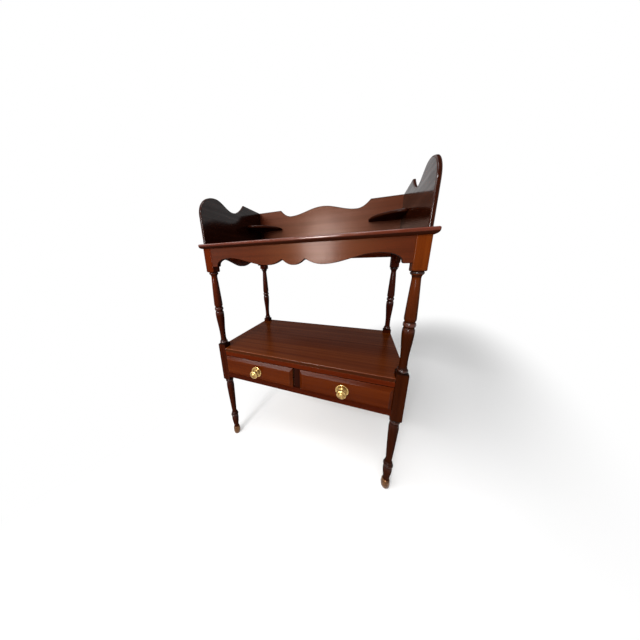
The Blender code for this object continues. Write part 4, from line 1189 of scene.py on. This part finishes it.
for side_name, side in (("left", -1), ("right", 1)):
    low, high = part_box(f"{side_name}_gallery")
    outline = side_gallery_outline(low.y, high.y, low.z, high.z)
    board = f"{side_name}_gallery"
    wood = mahogany(board, "Y", 34.0 + side, (0.22, 0.28, 0.42), polish=0.64, polish_roughness=0.13)
    edge = sawn_edge(board, "Y")
    thickness = high.x - low.x
    mesh = board_mesh(
        board, outline, "YZ", low.x, thickness, GALLERY_ROUNDING, (0, 1), wood, edge, wear=1.0
    )
    # The outsides of the side boards are made lighter, painted light where the lamps in front don't reach.
    outside = mahogany(f"{board}_outside", "Y", 44.0 + side, (1.2, 1.0, 0.6), polish=0.07)
    face_away(mesh, (side, 0.0, 0.0), outside)
    show(f"shaped_{side_name}_gallery", mesh, "stand", "mahogany", f"{side_name}_gallery")

    low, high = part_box(f"{side_name}_corner_shelf")
    outline = corner_shelf_outline(board_inside - JOINT_GAP, back_low.y - JOINT_GAP)
    if side < 0:
        outline = outline[:1] + list(reversed(outline[1:]))
        outline = [(-across, along) for across, along in outline]
    board = f"{side_name}_corner_shelf"
    wood = mahogany(board, "X", 37.0 + side, (0.45, 0.45, 0.5))
    edge = sawn_edge(board, "X")
    thickness = high.z - low.z
    square_edges = (0, len(outline) - 1)
    mesh = board_mesh(
        board, outline, "XY", low.z, thickness, CORNER_ROUNDING, square_edges, wood, edge, wear=0.5
    )
    show(f"rounded_{side_name}_corner_shelf", mesh, "stand", "mahogany", f"{side_name}_corner_shelf")


# Shelf board
# The wide mahogany board over the drawers, notched round the four legs and glued down on the rails.
# Its upper edges are rounded by wear and polishing.
# The shelf's raised tone is painted light that makes up for the shade of the tray above; the stain darkens
# its edges back.
wood = mahogany("shelf_board", "X", 41.0, (0.94, 1.16, 0.70), polish=0.12, polish_roughness=0.24)
mesh = eased_copy("shelf_board", wood, arris=0.0014, thickness_axis="Z", stain=0.9)
show("worn_shelf_board", mesh, "stand", "mahogany", "shelf_board")


# Drawer case
# Two mahogany rails with a short divider between them frame the drawers, tenoned into the legs.
# Plain mahogany panels close the sides and the back.
SIDE_TONE = (0.90, 0.66, 0.3)
CASE_PIECES = {  # the way of the grain, the arris and the tone
    "upper_drawer_rail": ("X", 0.0008, (0.72, 0.56, 0.24)),
    "lower_drawer_rail": ("X", 0.0014, (0.36, 0.27, 0.15)),
    # the centre divider's very dark tone is painted shade: it stands back between the drawers' bevels
    "centre_divider": ("Z", 0.0005, (0.15, 0.15, 0.2)),
    "left_case_side": ("Y", 0.0006, SIDE_TONE),
    "right_case_side": ("Y", 0.0006, SIDE_TONE),
    # the case back's lighter tone is painted light, where no lamp reaches
    "case_back": ("X", 0.0006, BACK_PAINTED_LIGHT_TONE),
}
for index, (node, (grain, arris, tone)) in enumerate(CASE_PIECES.items()):
    wood = mahogany(node, grain, 51.0 + index, tone, polish=0.05)
    show(f"planed_{node}", eased_copy(node, wood, arris), "stand", "mahogany", node)


# Runners, kickers and stops
# Strips of a plain pale wood inside the case, left unpolished. Runners carry the drawers and guide them,
# kickers keep an open drawer level, and a small block behind each front stops it flush.
LINING_DARK = (0.20, 0.108, 0.048)
LINING_MIDDLE = (0.36, 0.215, 0.108)
LINING_LIGHT = (0.46, 0.30, 0.165)
STRIP_TONE = (0.85, 0.8, 0.75)


def lining(name, grain, offset, tone=(1.0, 1.0, 1.0)):
    """A plain pale wood, planed and left bare."""
    colours = (LINING_DARK, LINING_MIDDLE, LINING_LIGHT)
    finish = {"sheen": 0.12, "roughness": 0.55, "polish": 0.0, "polish_roughness": 0.3, "relief": 0.30}
    return wood_material(f"lining_{name}", grain, offset, colours, tone, **finish)


strips = [f"{place}_{kind}" for kind in ("runner", "kicker") for place in ("left", "centre", "right")]
for index, node in enumerate(strips + ["left_drawer_stop", "right_drawer_stop"]):
    wood = lining(node, "X" if "stop" in node else "Y", 61.0 + index, STRIP_TONE)
    show(f"sawn_{node}", eased_copy(node, wood, arris=0.0006), "stand", "lining_wood", node)


# Drawers
# Each drawer is a mahogany front with a raised and bevelled field, dovetailed to thin sides of pale wood,
# with a low back and a bottom that slides in grooves.
FRONT_TONE = (0.62, 0.60, 0.16)
DRAWER_LININGS = (("left_side", "Y"), ("right_side", "Y"), ("back", "X"), ("bottom", "X"))
for index, side_name in enumerate(("left", "right")):
    body = f"{side_name}_drawer"
    wood = mahogany(f"{body}_front", "X", 71.0 + index, FRONT_TONE, polish=0.09, polish_roughness=0.16)
    mesh = eased_copy(f"{body}_front", wood, arris=0.0009, thickness_axis="Y", stain=1.0)
    show(f"raised_{body}_front", mesh, body, "mahogany", f"{body}_front")
    for offset, (part, grain) in enumerate(DRAWER_LININGS):
        node = f"{body}_{part}"
        wood = lining(node, grain, 81.0 + 5 * index + offset)
        show(f"dovetailed_{node}", eased_copy(node, wood, arris=0.0004), body, "lining_wood", node)


# Knobs
# Turned and polished brass: a round stepped backplate, a mushroom knob with a button on its face, and a
# steel screw that holds both from inside the drawer.
PLATE_RADIUS = 0.0185
PLATE_STEP = 0.0150
PLATE_BOSS = 0.0105
PLATE_ROLL = 0.0022
PLATE_DISH = 0.0012
KNOB_RADIUS = 0.0140
KNOB_STEM = 0.0062
KNOB_FOOT = 0.0085
KNOB_RIM_PLACE = 0.0125
KNOB_LIP = 0.0016
KNOB_GROOVE = 0.0010
BUTTON_RADIUS = 0.0080
BUTTON_RISE = 0.0026
KNOB_BRASS = (0.69, 0.47, 0.18, 1.0)
KNOB_TARNISH = (0.16, 0.080, 0.020, 1.0)
SCREW_STEEL = (0.42, 0.42, 0.43, 1.0)
SCREW_DULL = (0.16, 0.14, 0.125, 1.0)


def plate_profile(length):
    """A backplate from its back forwards: a rolled rim, a dished field and a boss under the knob."""
    rim = PLATE_RADIUS - PLATE_ROLL
    points = [(0.0, 0.0), (PLATE_RADIUS - PLATE_ROLL / 3, 0.0)]
    points += cove(points[-1], (PLATE_RADIUS, PLATE_ROLL / 2))
    points += round_over(points[-1], (rim, PLATE_ROLL))
    points += cove(points[-1], (PLATE_STEP, PLATE_DISH))
    points += taper(points[-1], (PLATE_BOSS, PLATE_DISH))
    points += round_over(points[-1], (PLATE_BOSS - PLATE_ROLL, length))
    return points + [(0.0, length)]


def knob_profile(length):
    """A knob from its foot forwards: a waisted stem, a round head and a face with a groove round a button."""
    face = length - BUTTON_RISE
    points = [(0.0, 0.0), (KNOB_FOOT, 0.0)]
    points += cove(points[-1], (KNOB_STEM, KNOB_RIM_PLACE / 2))
    points += round_over(points[-1], (KNOB_RADIUS - KNOB_LIP, KNOB_RIM_PLACE - KNOB_LIP))
    points += cove(points[-1], (KNOB_RADIUS, KNOB_RIM_PLACE))
    points += round_over(points[-1], (BUTTON_RADIUS + KNOB_GROOVE, face))
    points += round_over(points[-1], (BUTTON_RADIUS, face - KNOB_GROOVE))
    return points + round_over(points[-1], (0.0, length))


knob_brass = metal_material("polished_knob_brass", KNOB_BRASS, KNOB_TARNISH, amount=0.45, metallic=1.0)
steel = metal_material("screw_steel", SCREW_STEEL, SCREW_DULL, amount=0.6, metallic=1.0)
for side_name in ("left", "right"):
    for part, profile in (("knob_plate", plate_profile), ("knob", knob_profile)):
        node = f"{side_name}_{part}"
        low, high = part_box(node)
        mesh = turned_mesh(node, profile(high.y - low.y), knob_brass)
        middle = ((low.x + high.x) / 2, high.y, (low.z + high.z) / 2)
        mesh.transform(Matrix.Translation(middle) @ Matrix.Rotation(math.pi / 2, 4, "X"))
        show(f"turned_{node}", mesh, f"{side_name}_drawer", "brass", node)
    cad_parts[f"{side_name}_knob_screw"].material_slots[0].material = steel
